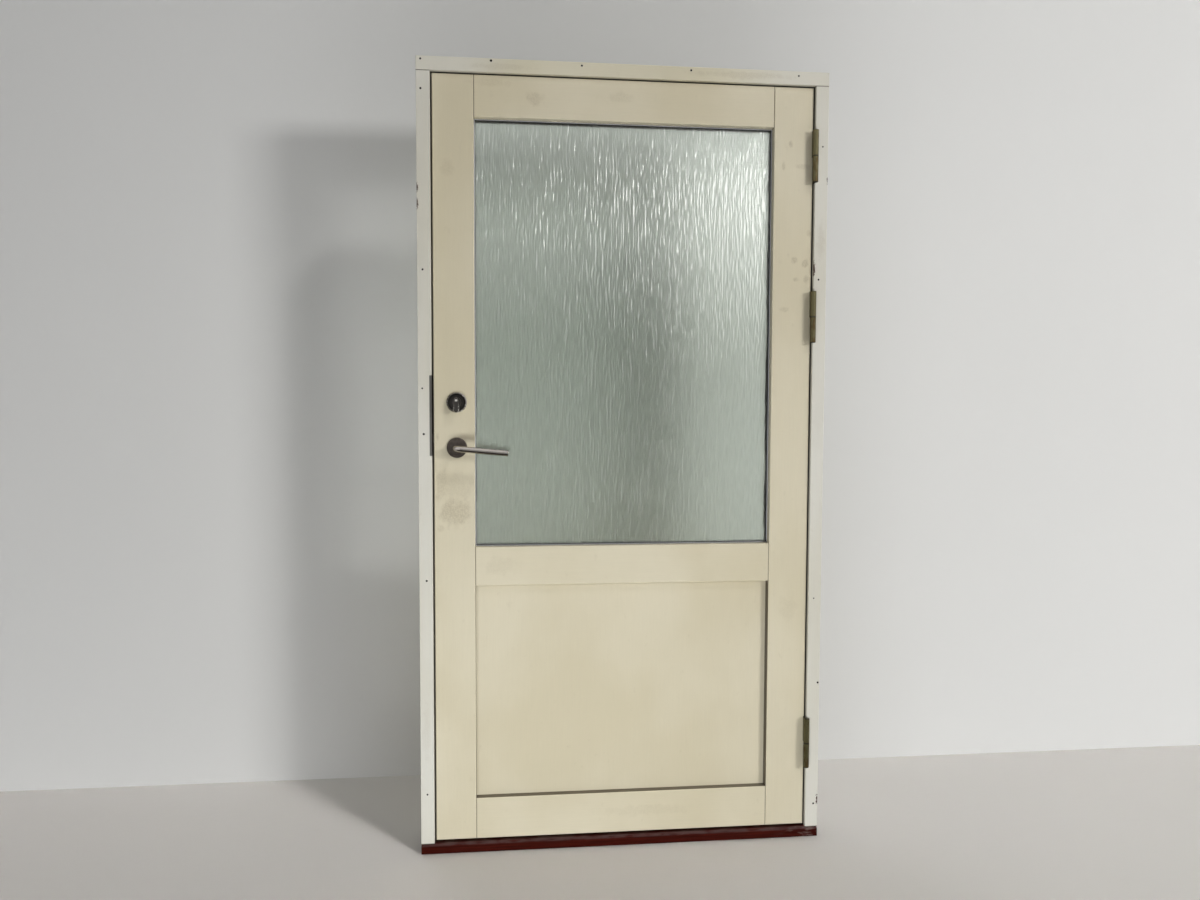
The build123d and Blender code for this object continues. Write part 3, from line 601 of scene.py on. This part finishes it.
def rippled_glass():
    """Rain-patterned glass: the broad ripple is in the mesh, the finest runs are relief."""
    glass = settings("door_glass")
    fixed = {
        "Transmission Weight": 1.0, "IOR": 1.52, "Roughness": 0.28, "Coat Weight": 1.0,
        "Coat Roughness": 0.10, "Coat IOR": 1.5,
    }
    finish = Finish("rain_glass", fixed)
    runs = finish.noise((1 / glass.streak_width, 0.0, 1 / glass.streak_length), 1.0, seed=glass.seed)
    fine = finish.noise((2 / glass.streak_width, 0.0, 2 / glass.streak_length), 0.0, seed=9.0)
    finish.wear(base_color=finish.mix(runs.rise(0.35, 0.65), glass.tint, tinted(glass.tint, 0.90)))
    finish.relief(fine * 0.0003)
    return finish


def clear_glass():
    """Plain float glass with a film of dust."""
    glass = settings("door_glass")
    finish = Finish("float_glass", {"Base Color": glass.tint, "Transmission Weight": 1.0, "IOR": 1.52})
    film = finish.noise((14.0, 14.0, 9.0), 4.0, seed=5.0)
    finish.wear(roughness=0.01 + film.rise(0.45, 0.8) * 0.05)
    return finish


def glazing_rubber(name, colour):
    """Soft glazing rubber, dusty in its surface."""
    finish = Finish(name, {"Specular IOR Level": 0.35})
    dust = finish.noise((180.0, 180.0, 60.0), 4.0)
    finish.tone = finish.mix(dust.rise(0.45, 0.75) * 0.35, colour, shade(120, 116, 108))
    finish.wear(base_color=finish.tone, roughness=0.55 + dust * 0.2)
    finish.relief(dust * 0.00003)
    return finish


def gasket_rubber(node):
    """Black glazing gasket with a pale line along the middle of its lip, a painted highlight for the lit
    spacer bar behind the glass.
    """
    low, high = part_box(node)
    finish = glazing_rubber(f"{node}_rubber", shade(36, 36, 37))
    rim = (finish.x - low.x).least(high.x - finish.x).least((finish.z - low.z).least(high.z - finish.z))
    # Painted highlight: a pale line on the lip, standing in for the lit spacer bar seen behind the glass
    line = rim.rise(0.0126, 0.0129) * rim.fall(0.0144, 0.0147)
    lip_with_highlight = finish.mix(line, finish.tone, shade(206, 208, 214))
    finish.wear(base_color=lip_with_highlight)
    return finish


def spacer_alloy():
    """Mill-finish aluminium spacer with its row of breather holes."""
    finish = Finish("spacer_aluminium", {"Metallic": 1.0})
    lines = finish.noise((900.0, 900.0, 30.0), 2.0)
    pitch = 250.0
    dots = (finish.maths("SINE", finish.x * (math.tau * pitch))
            * finish.maths("SINE", finish.z * (math.tau * pitch))).rise(0.75, 0.9)
    finish.wear(base_color=finish.mix(dots * 0.6, shade(196, 198, 198), shade(60, 60, 60)),
                roughness=0.3 + lines * 0.15)
    finish.relief(lines * 0.00001)
    return finish


def block_plastic():
    """Hard moulded plastic of the setting blocks."""
    finish = Finish("setting_plastic", {"Specular IOR Level": 0.4})
    grain = finish.noise((500.0,) * 3, 2.0)
    finish.wear(base_color=finish.mix(grain, shade(58, 60, 62), shade(76, 78, 80)),
                roughness=0.45 + grain * 0.1)
    finish.relief(grain * 0.00002)
    return finish


def aged_brass(node, browning):
    """Hinge brass under an olive and brown patina, brighter in patches along the knuckle, with painted shade
    at the ends of each half.
    """
    metal = settings("door_metal")
    finish = Finish(f"{node}_brass", {"Metallic": 0.7})
    patina = finish.noise((120.0, 120.0, 45.0), 5.0, seed=browning)
    spots = finish.noise((420.0,) * 3, 3.0, seed=browning + 1.0)
    brown = tinted(metal.brass, (0.72, 0.58, 0.46))
    tone = finish.mix(patina.rise(0.62 - 0.3 * browning, 0.8 - 0.3 * browning), metal.brass, brown)
    tone = finish.mix(spots.rise(0.62, 0.74) * 0.7, tone, shade(48, 40, 30))
    rubbed_and_highlights = patina.fall(0.28, 0.42)
    tone = finish.mix(rubbed_and_highlights * 0.5, tone, tinted(metal.brass, 1.7))
    low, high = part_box(node)
    ends = (finish.z - low.z).least(high.z - finish.z)
    # Painted shade: both ends of each half darkened, for the dark line in the joint between the halves
    tone = finish.mix(ends.fall(0.0008, 0.0022) * 0.8, tone, shade(40, 34, 26))
    finish.wear(base_color=tone, roughness=0.34 + patina * 0.3 - rubbed_and_highlights * 0.1)
    finish.relief(spots * 0.00003 + patina * 0.00005)
    return finish


def polished_lever(name):
    """Polished stainless bar with fine handling scratches along it."""
    metal = settings("door_metal")
    finish = Finish(name, {"Metallic": 1.0, "Base Color": metal.lever})
    scratches = finish.noise((60.0, 1400.0, 1400.0), 2.0)
    smears = finish.noise((45.0,) * 3, 3.0, seed=2.0)
    finish.wear(roughness=0.05 + scratches * 0.06 + smears.rise(0.5, 0.8) * 0.10,
                base_color=finish.mix(smears.rise(0.4, 0.8) * 0.3, metal.lever, tinted(metal.lever, 0.7)))
    finish.relief(scratches * 0.000004)
    return finish


def dull_rose(name):
    """Dark oxidised rose, paler where hands rub it."""
    metal = settings("door_metal")
    finish = Finish(name, {"Metallic": 0.8})
    cast = finish.noise((110.0,) * 3, 4.0, seed=6.0)
    grain = finish.noise((900.0,) * 3, 2.0)
    tone = finish.mix(cast.rise(0.35, 0.7), tinted(metal.rose, 0.8), tinted(metal.rose, 1.2))
    finish.wear(base_color=tone, roughness=0.36 + cast * 0.2)
    finish.relief(grain * 0.00001)
    return finish


def dark_chrome(name):
    """Worn chrome over darker metal, with finger smears."""
    metal = settings("door_metal")
    finish = Finish(name, {"Metallic": 1.0})
    smears = finish.noise((140.0,) * 3, 4.0, seed=8.0)
    tone = finish.mix(smears.rise(0.45, 0.75), metal.turn, tinted(metal.turn, 0.55))
    finish.wear(base_color=tone, roughness=0.05 + smears.rise(0.4, 0.8) * 0.12)
    finish.relief(smears * 0.00002)
    return finish


def turn_rose_chrome():
    """Thumb-turn rose: a dark face inside a paler rim with bright spots in places, as painted reflections
    and painted highlights.
    """
    metal = settings("door_metal")
    low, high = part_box("turn_rose")
    middle = (low + high) / 2
    outer = (high.x - low.x) / 2
    finish = dark_chrome("turn_rose_chrome")
    across = finish.x - middle.x
    up = finish.z - middle.z
    reach = (across * across + up * up) ** 0.5
    # Painted reflection and highlights: the face darker, the rim paler, with bright spots along the rim
    rim = reach.rise(outer * 0.84, outer * 0.9)
    smears = finish.noise((160.0,) * 3, 4.0, seed=8.0)
    rubbed_and_highlights = rim * smears.rise(0.57, 0.63)
    tone = finish.mix(rim, tinted(metal.turn, 0.45), tinted(metal.turn, 2.0))
    finish.wear(base_color=finish.mix(rubbed_and_highlights, tone, metal.rubbed_and_highlights), metallic=1.0 - rubbed_and_highlights * 0.6,
                roughness=0.06 + smears.rise(0.4, 0.8) * 0.12)
    return finish


def highlighted_grip():
    """Thumb turn: dark chrome with painted highlights, bright at the grip's head and along its flanks."""
    metal = settings("door_metal")
    low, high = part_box("thumb_turn")
    finish = dark_chrome("thumb_turn_chrome")
    across = abs(finish.x - (low.x + high.x) / 2)
    smears = finish.noise((260.0,) * 3, 3.0, seed=4.0)
    down = high.z - finish.z
    head_middle = 0.008
    # Painted highlights: a bright spot on the grip's head and bright streaks along its flanks, on its front
    # only
    head = across.fall(0.0022, 0.0042) * abs(down - head_middle).fall(0.0016, 0.0036)
    flanks = across.rise(0.0038, 0.0052) * down.rise(0.016, 0.022) * smears.rise(0.48, 0.56)
    rubbed_and_highlights = head.most(flanks) * (finish.y - low.y).fall(0.006, 0.010)
    tone = finish.mix(smears.rise(0.45, 0.75), tinted(metal.turn, 0.8), tinted(metal.turn, 0.45))
    finish.wear(base_color=finish.mix(rubbed_and_highlights, tone, metal.rubbed_and_highlights), metallic=1.0 - rubbed_and_highlights * 0.6)
    return finish


def plated_steel(name, colour, tarnish):
    """Zinc-plated steel, clouded by tarnish."""
    finish = Finish(name, {"Metallic": 1.0})
    clouds = finish.noise((160.0,) * 3, 4.0, seed=3.0)
    scratches = finish.noise((1600.0, 1600.0, 90.0), 2.0)
    tone = finish.mix(clouds.rise(0.35, 0.7) * tarnish, colour, tinted(colour, (0.42, 0.4, 0.38)))
    finish.wear(base_color=tone, roughness=0.26 + clouds * 0.2 + scratches * 0.08)
    finish.relief(scratches * 0.000006)
    return finish


def strike_steel():
    """Strike plate: darker and rougher in its upper half than below, the boundary clouded."""
    metal = settings("door_metal")
    low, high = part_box("strike_plate")
    finish = Finish("strike_steel", {"Metallic": 1.0})
    clouds = finish.noise((90.0,) * 3, 4.0, seed=3.0)
    share = (finish.z - low.z) / (high.z - low.z)
    dark = (share + (clouds - 0.5) * 0.25).rise(0.42, 0.58)
    finish.wear(base_color=finish.mix(dark, tinted(metal.steel, 0.8), shade(116, 114, 110)),
                roughness=0.3 + dark * 0.15)
    finish.relief(clouds * 0.00004)
    return finish


def rippled_pane():
    """Front pane: a slab whose face is finely divided, then rippled by a node tree."""
    glass = settings("door_glass")
    low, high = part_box("front_pane")
    middle = (low + high) / 2
    size = high - low
    solid = bmesh.new()
    place = (
        Matrix.Translation((middle.x, low.y, middle.z))
        @ Matrix.Rotation(math.pi / 2, 4, "X")
        @ Matrix.Diagonal((size.x / 2, size.z / 2, 1.0, 1.0))
    )
    bmesh.ops.create_grid(
        solid, x_segments=glass.columns, y_segments=glass.rows, size=1.0, matrix=place)
    outline = [edge for edge in solid.edges if edge.is_boundary]
    walls = bmesh.ops.extrude_edge_only(solid, edges=outline)["geom"]
    far = [item for item in walls if isinstance(item, bmesh.types.BMVert)]
    bmesh.ops.translate(solid, verts=far, vec=(0.0, size.y, 0.0))
    bmesh.ops.contextual_create(solid, geom=[edge for edge in solid.edges if edge.is_boundary])
    bmesh.ops.recalc_face_normals(solid, faces=solid.faces)
    mesh = bpy.data.meshes.new("rippled_pane")
    solid.to_mesh(mesh)
    solid.free()
    piece = add_piece("rippled_pane", mesh)

    recipe = Recipe("Rain ripple", {
        "Ripple Depth": glass.ripple_depth, "Streak Width": glass.streak_width,
        "Streak Length": glass.streak_length, "Plain Border": 0.006, "Seed": glass.seed,
    })
    spot = recipe.node("GeometryNodeInputPosition")
    x, y, z = recipe.split(spot)
    rim = (x - low.x).least(high.x - x).least((z - low.z).least(high.z - z))
    border = (rim / recipe.given("Plain Border")).least(1.0)
    scales = recipe.node("ShaderNodeCombineXYZ", sockets={
        "X": 1 / recipe.given("Streak Width"), "Z": 1 / recipe.given("Streak Length")})
    runs = recipe.noise_at(spot, scales, 1.0, recipe.given("Seed"))
    depth = (runs - 0.5) * recipe.given("Ripple Depth") * border
    sockets = {
        "Geometry": recipe.given("Geometry"), "Selection": y < low.y + size.y / 2,
        "Offset": recipe.node("ShaderNodeCombineXYZ", sockets={"Y": depth}),
    }
    rippled = recipe.node("GeometryNodeSetPosition", sockets=sockets)
    facing = recipe.split(recipe.node("GeometryNodeInputNormal"))[1]
    smooth = recipe.node("GeometryNodeSetShadeSmooth", sockets={0: rippled, "Shade Smooth": facing < -0.5})
    glazed = recipe.node("GeometryNodeSetMaterial", sockets={
        0: smooth, "Material": rippled_glass().material})
    recipe.end(glazed)
    recipe.run(piece)
    return piece


def nail_holes():
    """Old nail holes: a dark disc, painted shade and rust for the hole's depth, inside a small torn rim of
    paint, one at each place.
    """
    radius = settings("door_metal").nail_radius
    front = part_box("latch_jamb")[0].y
    mesh = bpy.data.meshes.new("nail_holes")
    mesh.from_pydata([(x, front, z) for x, z in NAIL_HOLES], [], [])
    piece = add_piece("nail_holes", mesh)
    rim_finish = Finish("nail_rim_paint", {"Specular IOR Level": 0.4})
    flakes = rim_finish.noise((700.0,) * 3, 3.0)
    colour = settings("door_paint").frame_colour
    torn = rim_finish.mix(flakes.rise(0.4, 0.6), tinted(colour, 0.55), colour)
    rim_finish.wear(base_color=torn, roughness=0.5)
    rim_finish.relief(flakes * 0.0001)
    # Painted shade and rust: a flat near-black disc stands in for the shaded depth of the hole
    pit_finish = Finish("nail_pit", {"Specular IOR Level": 0.1})
    rust = pit_finish.noise((900.0,) * 3, 3.0)
    pit_finish.wear(base_color=pit_finish.mix(rust, shade(6, 5, 4), shade(24, 16, 12)), roughness=0.9)

    recipe = Recipe("Nail hole", {"Hole Radius": radius, "Rim Height": radius * 0.14})
    ring_sides = 14
    profile_sides = 6
    ring = recipe.node("GeometryNodeCurvePrimitiveCircle", sockets={
        "Resolution": ring_sides, "Radius": recipe.given("Hole Radius")})
    profile = recipe.node("GeometryNodeCurvePrimitiveCircle", sockets={
        "Resolution": profile_sides, "Radius": recipe.given("Rim Height")})
    rim = recipe.node("GeometryNodeCurveToMesh", sockets={0: ring, 1: profile})
    rim = recipe.node("GeometryNodeSetMaterial", sockets={0: rim, "Material": rim_finish.material})
    disc = recipe.node("GeometryNodeFillCurve", sockets={0: ring})
    raised = recipe.node("ShaderNodeCombineXYZ", sockets={"Z": recipe.given("Rim Height") * 0.5})
    disc = recipe.node("GeometryNodeSetPosition", sockets={0: disc, "Offset": raised})
    disc = recipe.node("GeometryNodeSetMaterial", sockets={0: disc, "Material": pit_finish.material})
    hole = recipe.node("GeometryNodeJoinGeometry", sockets={0: rim})
    recipe.feed(hole.socket.node.inputs[0], disc)
    least, most = 0.75, 1.25
    spread = recipe.node(
        "FunctionNodeRandomValue", {"data_type": "FLOAT"}, {2: least, 3: most, "Seed": 5}, output=1)
    points = recipe.node("GeometryNodeMeshToPoints", sockets={0: recipe.given("Geometry")})
    placed = recipe.node("GeometryNodeInstanceOnPoints", sockets={
        "Points": points, "Instance": hole, "Rotation": (math.pi / 2, 0.0, 0.0), "Scale": spread})
    recipe.end(placed)
    recipe.run(piece)
    return piece


class GLASSDOOR_OT_frame_timber(bpy.types.Operator):
    """Paint the head and jambs and lacquer the threshold"""
    bl_idname = "glassdoor.frame_timber"
    bl_label = "Frame Timber"

    def execute(self, context):
        paint = context.scene.door_paint
        for node, grain in FRAME_TIMBERS.items():
            colour = paint.head_colour if node == "frame_head" else paint.frame_colour
            dress(node, painted_timber(node, colour, grain, gap_painted_shade, FRAME_SMUDGES, FRAME_CHIPS))
        dress("threshold", lacquered_threshold())
        return {"FINISHED"}


class GLASSDOOR_OT_nail_holes(bpy.types.Operator):
    """Add the old nail holes in the frame's face"""
    bl_idname = "glassdoor.nail_holes"
    bl_label = "Nail Holes"

    def execute(self, context):
        piece = nail_holes()
        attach(piece, "frame")
        return {"FINISHED"}


class GLASSDOOR_OT_leaf_timber(bpy.types.Operator):
    """Paint the leaf's stiles, rails, panel and beads"""
    bl_idname = "glassdoor.leaf_timber"
    bl_label = "Leaf Timber"

    def execute(self, context):
        colour = context.scene.door_paint.leaf_colour
        for node, grain in LEAF_TIMBERS.items():
            dress(node, painted_timber(node, colour, grain, recess_painted_shade, LEAF_SMUDGES))
        for side, grain in BEAD_GRAINS.items():
            for kind in ("glazing", "panel"):
                node = f"{kind}_bead_{side}"
                dress(node, painted_timber(node, colour, grain, recess_painted_shade, ()))
        dress("rail_dowels", bare_wood())
        return {"FINISHED"}


class GLASSDOOR_OT_glazing(bpy.types.Operator):
    """Make the rippled pane and finish the rest of the sealed unit"""
    bl_idname = "glassdoor.glazing"
    bl_label = "Glazing"

    def execute(self, context):
        piece = rippled_pane()
        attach(piece, "leaf")
        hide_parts("front_pane")
        dress("rear_pane", clear_glass())
        dress("spacer_frame", spacer_alloy())
        dress("edge_seal", glazing_rubber("edge_sealant", shade(34, 34, 35)))
        for node in ("front_gasket", "rear_gasket"):
            dress(node, gasket_rubber(node))
        dress("setting_blocks", block_plastic())
        return {"FINISHED"}


class GLASSDOOR_OT_weather_seals(bpy.types.Operator):
    """Finish the soft seals in the frame's stops"""
    bl_idname = "glassdoor.weather_seals"
    bl_label = "Weather Seals"

    def execute(self, context):
        rubber = glazing_rubber("weather_seal_rubber", shade(58, 50, 44))
        for node in WEATHER_SEALS:
            dress(node, rubber)
        return {"FINISHED"}


class GLASSDOOR_OT_hinges(bpy.types.Operator):
    """Patinate the hinge halves, the lower ones browner"""
    bl_idname = "glassdoor.hinges"
    bl_label = "Hinges"

    def execute(self, context):
        for place in ("top", "middle", "bottom"):
            dress(f"leaf_hinge_{place}", aged_brass(f"leaf_hinge_{place}", 0.2))
            dress(f"frame_hinge_{place}", aged_brass(f"frame_hinge_{place}", 0.7))
        return {"FINISHED"}


class GLASSDOOR_OT_lock(bpy.types.Operator):
    """Finish the lock's works, its strike plate and all screws"""
    bl_idname = "glassdoor.lock"
    bl_label = "Lock"

    def execute(self, context):
        works = plated_steel("lock_plating", context.scene.door_metal.steel, 0.6)
        for node in LOCK_WORKS:
            dress(node, works)
        dress("strike_plate", strike_steel())
        screws = plated_steel("screw_zinc", shade(172, 168, 156), 0.8)
        for node in SCREW_SETS:
            dress(node, screws)
        return {"FINISHED"}


class GLASSDOOR_OT_handles(bpy.types.Operator):
    """Finish the levers, roses, thumb turn and key cylinder"""
    bl_idname = "glassdoor.handles"
    bl_label = "Handles"

    def execute(self, context):
        for side in ("front", "rear"):
            dress(f"{side}_lever", polished_lever(f"{side}_lever_steel"))
            dress(f"{side}_lever_rose", dull_rose(f"{side}_rose_metal"))
        dress("turn_rose", turn_rose_chrome())
        dress("thumb_turn", highlighted_grip())
        for node in ("cylinder_rose", "key_cylinder"):
            dress(node, dark_chrome(f"{node}_chrome"))
        return {"FINISHED"}


def plain_finish(name, colour):
    """Faintly mottled stage surface."""
    finish = Finish(name, {"Specular IOR Level": 0.2, "Roughness": 0.8})
    mottle = finish.noise((1.5,) * 3, 3.0)
    finish.wear(base_color=finish.mix(mottle, tinted(colour, 0.97), tinted(colour, 1.02)))
    return finish


def one_sided(finish):
    """Let a stage sheet be seen through from behind."""
    back = finish.node("ShaderNodeNewGeometry", output="Backfacing")
    clear = finish.node("ShaderNodeBsdfTransparent")
    shown = Field(finish, finish.shader.outputs[0])
    blend = finish.node("ShaderNodeMixShader", sockets={0: back, 1: shown, 2: clear})
    finish.feed(finish.tree.nodes["Material Output"].inputs["Surface"], blend)


def card_finish():
    """Room card, seen only in glass and metal: dim below, bright above, with a dark post and a dark beam."""
    finish = Finish("card_glow", {"Specular IOR Level": 0.0, "Base Color": (0.0, 0.0, 0.0)})
    post_middle = 0.51
    post = abs(finish.x - post_middle).fall(0.2, 0.75) * finish.z.fall(2.2, 2.5)
    beam = finish.z.rise(2.5, 2.6) * finish.z.fall(2.96, 3.04) * finish.x.fall(0.8, 1.4)
    bright = finish.z.rise(1.85, 1.89)
    dim = finish.z.fall(0.6, 1.7) * 0.78 + finish.x.rise(1.3, 1.6) * 0.2
    level = (1 - bright) * dim + bright * (0.88 + finish.z.rise(1.95, 2.4) * 0.12)
    finish.glow(level * (1 - post * 0.97) * (1 - beam * 0.9))
    return finish


def upright(left, right, depth, foot, top):
    """Corners of a sheet that stands across the room."""
    return [(left, depth, foot), (right, depth, foot), (right, depth, top), (left, depth, top)]


def lying(left, right, front, back, height):
    """Corners of a sheet that lies in the room."""
    return [(left, front, height), (right, front, height), (right, back, height), (left, back, height)]


def flat_stage(name, corners, finish):
    """One flat sheet of the stage."""
    mesh = bpy.data.meshes.new(name)
    mesh.from_pydata(corners, [], [range(len(corners))])
    mesh.materials.append(finish.material)
    piece = add_piece(name, mesh)
    return piece


def soft_light(name, place, aim, width, height, power, colour):
    """Area light that faces a point."""
    lamp = bpy.data.lights.new(name, "AREA")
    lamp.shape = "RECTANGLE"
    lamp.size = width
    lamp.size_y = height
    lamp.energy = power
    lamp.color = colour
    light = bpy.data.objects.new(name, lamp)
    light.location = place
    light.visible_camera = False
    light.rotation_euler = (Vector(aim) - Vector(place)).to_track_quat("-Z", "Y").to_euler()
    bpy.context.scene.collection.objects.link(light)
    return light


def spare(light, role, *pieces):
    """Leave pieces out of what a light reaches or is stopped by."""
    group = bpy.data.collections.new(f"{light.name}_{role}")
    for piece in pieces:
        group.objects.link(piece)
    for member in group.collection_objects:
        member.light_linking.link_state = "EXCLUDE"
    setattr(light.light_linking, role, group)


def glazed_light(name, place, aim, width, height, power, colour, backdrop):
    """Two lamps in one place, neither stopped by the backdrop: the panes stop one and pass the other."""
    panes = (bpy.data.objects["rippled_pane"], nodes["rear_pane"])
    passed = settings("door_glass").passed_light
    stopped = soft_light(name, place, aim, width, height, power * (1 - passed), colour)
    through = soft_light(f"{name}_through", place, aim, width, height, power * passed, colour)
    spare(stopped, "blocker_collection", backdrop)
    spare(through, "blocker_collection", backdrop, *panes)
    return stopped, through


class GLASSDOOR_OT_stage(bpy.types.Operator):
    """Set up the floor, backdrop, lights and camera"""
    bl_idname = "glassdoor.stage"
    bl_label = "Stage"

    def execute(self, context):
        stage = context.scene.door_stage
        reach = 9.0
        ground = -0.001
        floor_finish = plain_finish("floor_finish", stage.floor_colour)
        far = (floor_finish.x * floor_finish.x + floor_finish.y * floor_finish.y) ** 0.5
        floor_finish.glow(floor_finish.seen() * far.rise(2.4, 8.0) * 0.75)
        floor = flat_stage("floor", lying(-reach, reach, -reach, reach, ground), floor_finish)
        depth = cad_high.y + stage.backdrop_gap
        half, top = 2.7, 3.4
        backdrop_finish = plain_finish("backdrop_finish", stage.backdrop_colour)
        one_sided(backdrop_finish)
        # Painted light on the backdrop: it glows of itself, more towards the floor, and the glow fades away
        # behind the door as painted shade
        backdrop_finish.glow(abs(backdrop_finish.x).rise(0.25, 1.2) * (0.21 - backdrop_finish.z * 0.045))
        backdrop = flat_stage("backdrop", upright(-half, half, depth, ground, top), backdrop_finish)

        world = bpy.data.worlds.new("studio")
        world.use_nodes = True
        sky = Sheet(world.node_tree)
        light = sky.node("ShaderNodeBackground", sockets={"Color": (0.92, 0.94, 0.97), "Strength": 0.09})
        pale = sky.node("ShaderNodeBackground", sockets={"Color": (1.0, 1.0, 1.0), "Strength": 1.0})
        blend = sky.node("ShaderNodeMixShader", sockets={0: sky.seen(), 1: light, 2: pale})
        sky.feed(sky.tree.nodes["World Output"].inputs["Surface"], blend)
        context.scene.world = world

        room_glow = card_finish()
        room_depth, card_left, card_top = -4.4, -4.5, 2.7
        card = flat_stage(
            "reflection_card", upright(card_left, 5.0, room_depth, 0.0, card_top), room_glow)
        beam_card = flat_stage(
            "beam_card", upright(card_left, 1.5, room_depth, card_top, 3.05), room_glow)
        low_card = flat_stage(
            "low_card", lying(-2.5, 2.5, -4.0, -0.2, 0.0),
            plain_finish("low_card_cloth", shade(60, 56, 52)))
        for kind in ("camera", "diffuse", "shadow", "volume_scatter"):
            for sheet in (card, beam_card, low_card):
                setattr(sheet, f"visible_{kind}", False)

        middle = (0.0, 0.0, 1.0)
        daylight = (1.0, 0.985, 0.965)
        for lamp in glazed_light("window", (4.7, -5.2, 2.6), middle, 1.3, 0.9, 172.0, daylight, backdrop):
            lamp.visible_glossy = False
        glint = soft_light("glint_strip", (3.4, -6.1, 3.2), middle, 1.9, 0.9, 62.0, daylight)
        glint.visible_diffuse = False
        glazed_light("ceiling", (3.06, -4.21, 6.4), middle, 0.7, 0.7, 92.0, daylight, backdrop)
        low_fill = soft_light(
            "low_fill", (-0.45, -1.9, 0.2), (-0.35, 0.0, 0.2), 1.6, 0.4, 23.0, (0.95, 0.98, 1.0))
        low_fill.visible_glossy = False
        low_fill.visible_transmission = False
        spare(low_fill, "receiver_collection", backdrop, floor)
        rear = soft_light("rear_fill", (-2.2, 4.2, 2.4), middle, 2.2, 1.6, 70.0, (1.0, 0.98, 0.95))
        rear.visible_glossy = False
        rear.visible_transmission = False
        for role in ("receiver_collection", "blocker_collection"):
            spare(rear, role, backdrop)

        lens = bpy.data.cameras.new("camera")
        lens.sensor_width = 36.0
        lens.lens = stage.focal_length
        camera = bpy.data.objects.new("camera", lens)
        camera.matrix_world = (
            Matrix.Translation(stage.camera_place)
            @ Matrix.Rotation(-stage.camera_yaw, 4, "Z")
            @ Matrix.Rotation(math.pi / 2 + stage.camera_pitch, 4, "X")
            @ Matrix.Rotation(stage.camera_roll, 4, "Z")
        )
        context.scene.collection.objects.link(camera)
        context.scene.camera = camera
        context.scene.view_settings.view_transform = "Standard"
        return {"FINISHED"}


class GLASSDOOR_PT_panel(bpy.types.Panel):
    """Lists the steps that dress the door"""
    bl_idname = "GLASSDOOR_PT_panel"
    bl_label = "Glass Door"
    bl_space_type = "VIEW_3D"
    bl_region_type = "UI"
    bl_category = "Glass Door"

    def draw(self, context):
        for step in STEPS:
            self.layout.operator(step.bl_idname)
        for group in GROUPS:
            box = self.layout.box()
            values = getattr(context.scene, group)
            for name in GROUPS[group].__annotations__:
                box.prop(values, name)


STEPS = (
    GLASSDOOR_OT_frame_timber, GLASSDOOR_OT_nail_holes, GLASSDOOR_OT_leaf_timber, GLASSDOOR_OT_glazing,
    GLASSDOOR_OT_weather_seals, GLASSDOOR_OT_hinges, GLASSDOOR_OT_lock, GLASSDOOR_OT_handles,
    GLASSDOOR_OT_stage,
)
GROUPS = {
    "door_paint": PaintSettings, "door_glass": GlassSettings, "door_metal": MetalSettings,
    "door_stage": StageSettings,
}


def register():
    """Register the property groups, steps and panel."""
    for name, group in GROUPS.items():
        bpy.utils.register_class(group)
        setattr(bpy.types.Scene, name, PointerProperty(type=group))
    for step in (*STEPS, GLASSDOOR_PT_panel):
        bpy.utils.register_class(step)


def unregister():
    """Take the panel, steps and property groups away."""
    for step in reversed((*STEPS, GLASSDOOR_PT_panel)):
        bpy.utils.unregister_class(step)
    for name, group in reversed(GROUPS.items()):
        delattr(bpy.types.Scene, name)
        bpy.utils.unregister_class(group)


def main():
    """Dress the door."""
    register()
    bpy.ops.glassdoor.frame_timber()
    bpy.ops.glassdoor.nail_holes()
    bpy.ops.glassdoor.leaf_timber()
    bpy.ops.glassdoor.glazing()
    bpy.ops.glassdoor.weather_seals()
    bpy.ops.glassdoor.hinges()
    bpy.ops.glassdoor.lock()
    bpy.ops.glassdoor.handles()
    bpy.ops.glassdoor.stage()


if __name__ == "__main__":
    main()
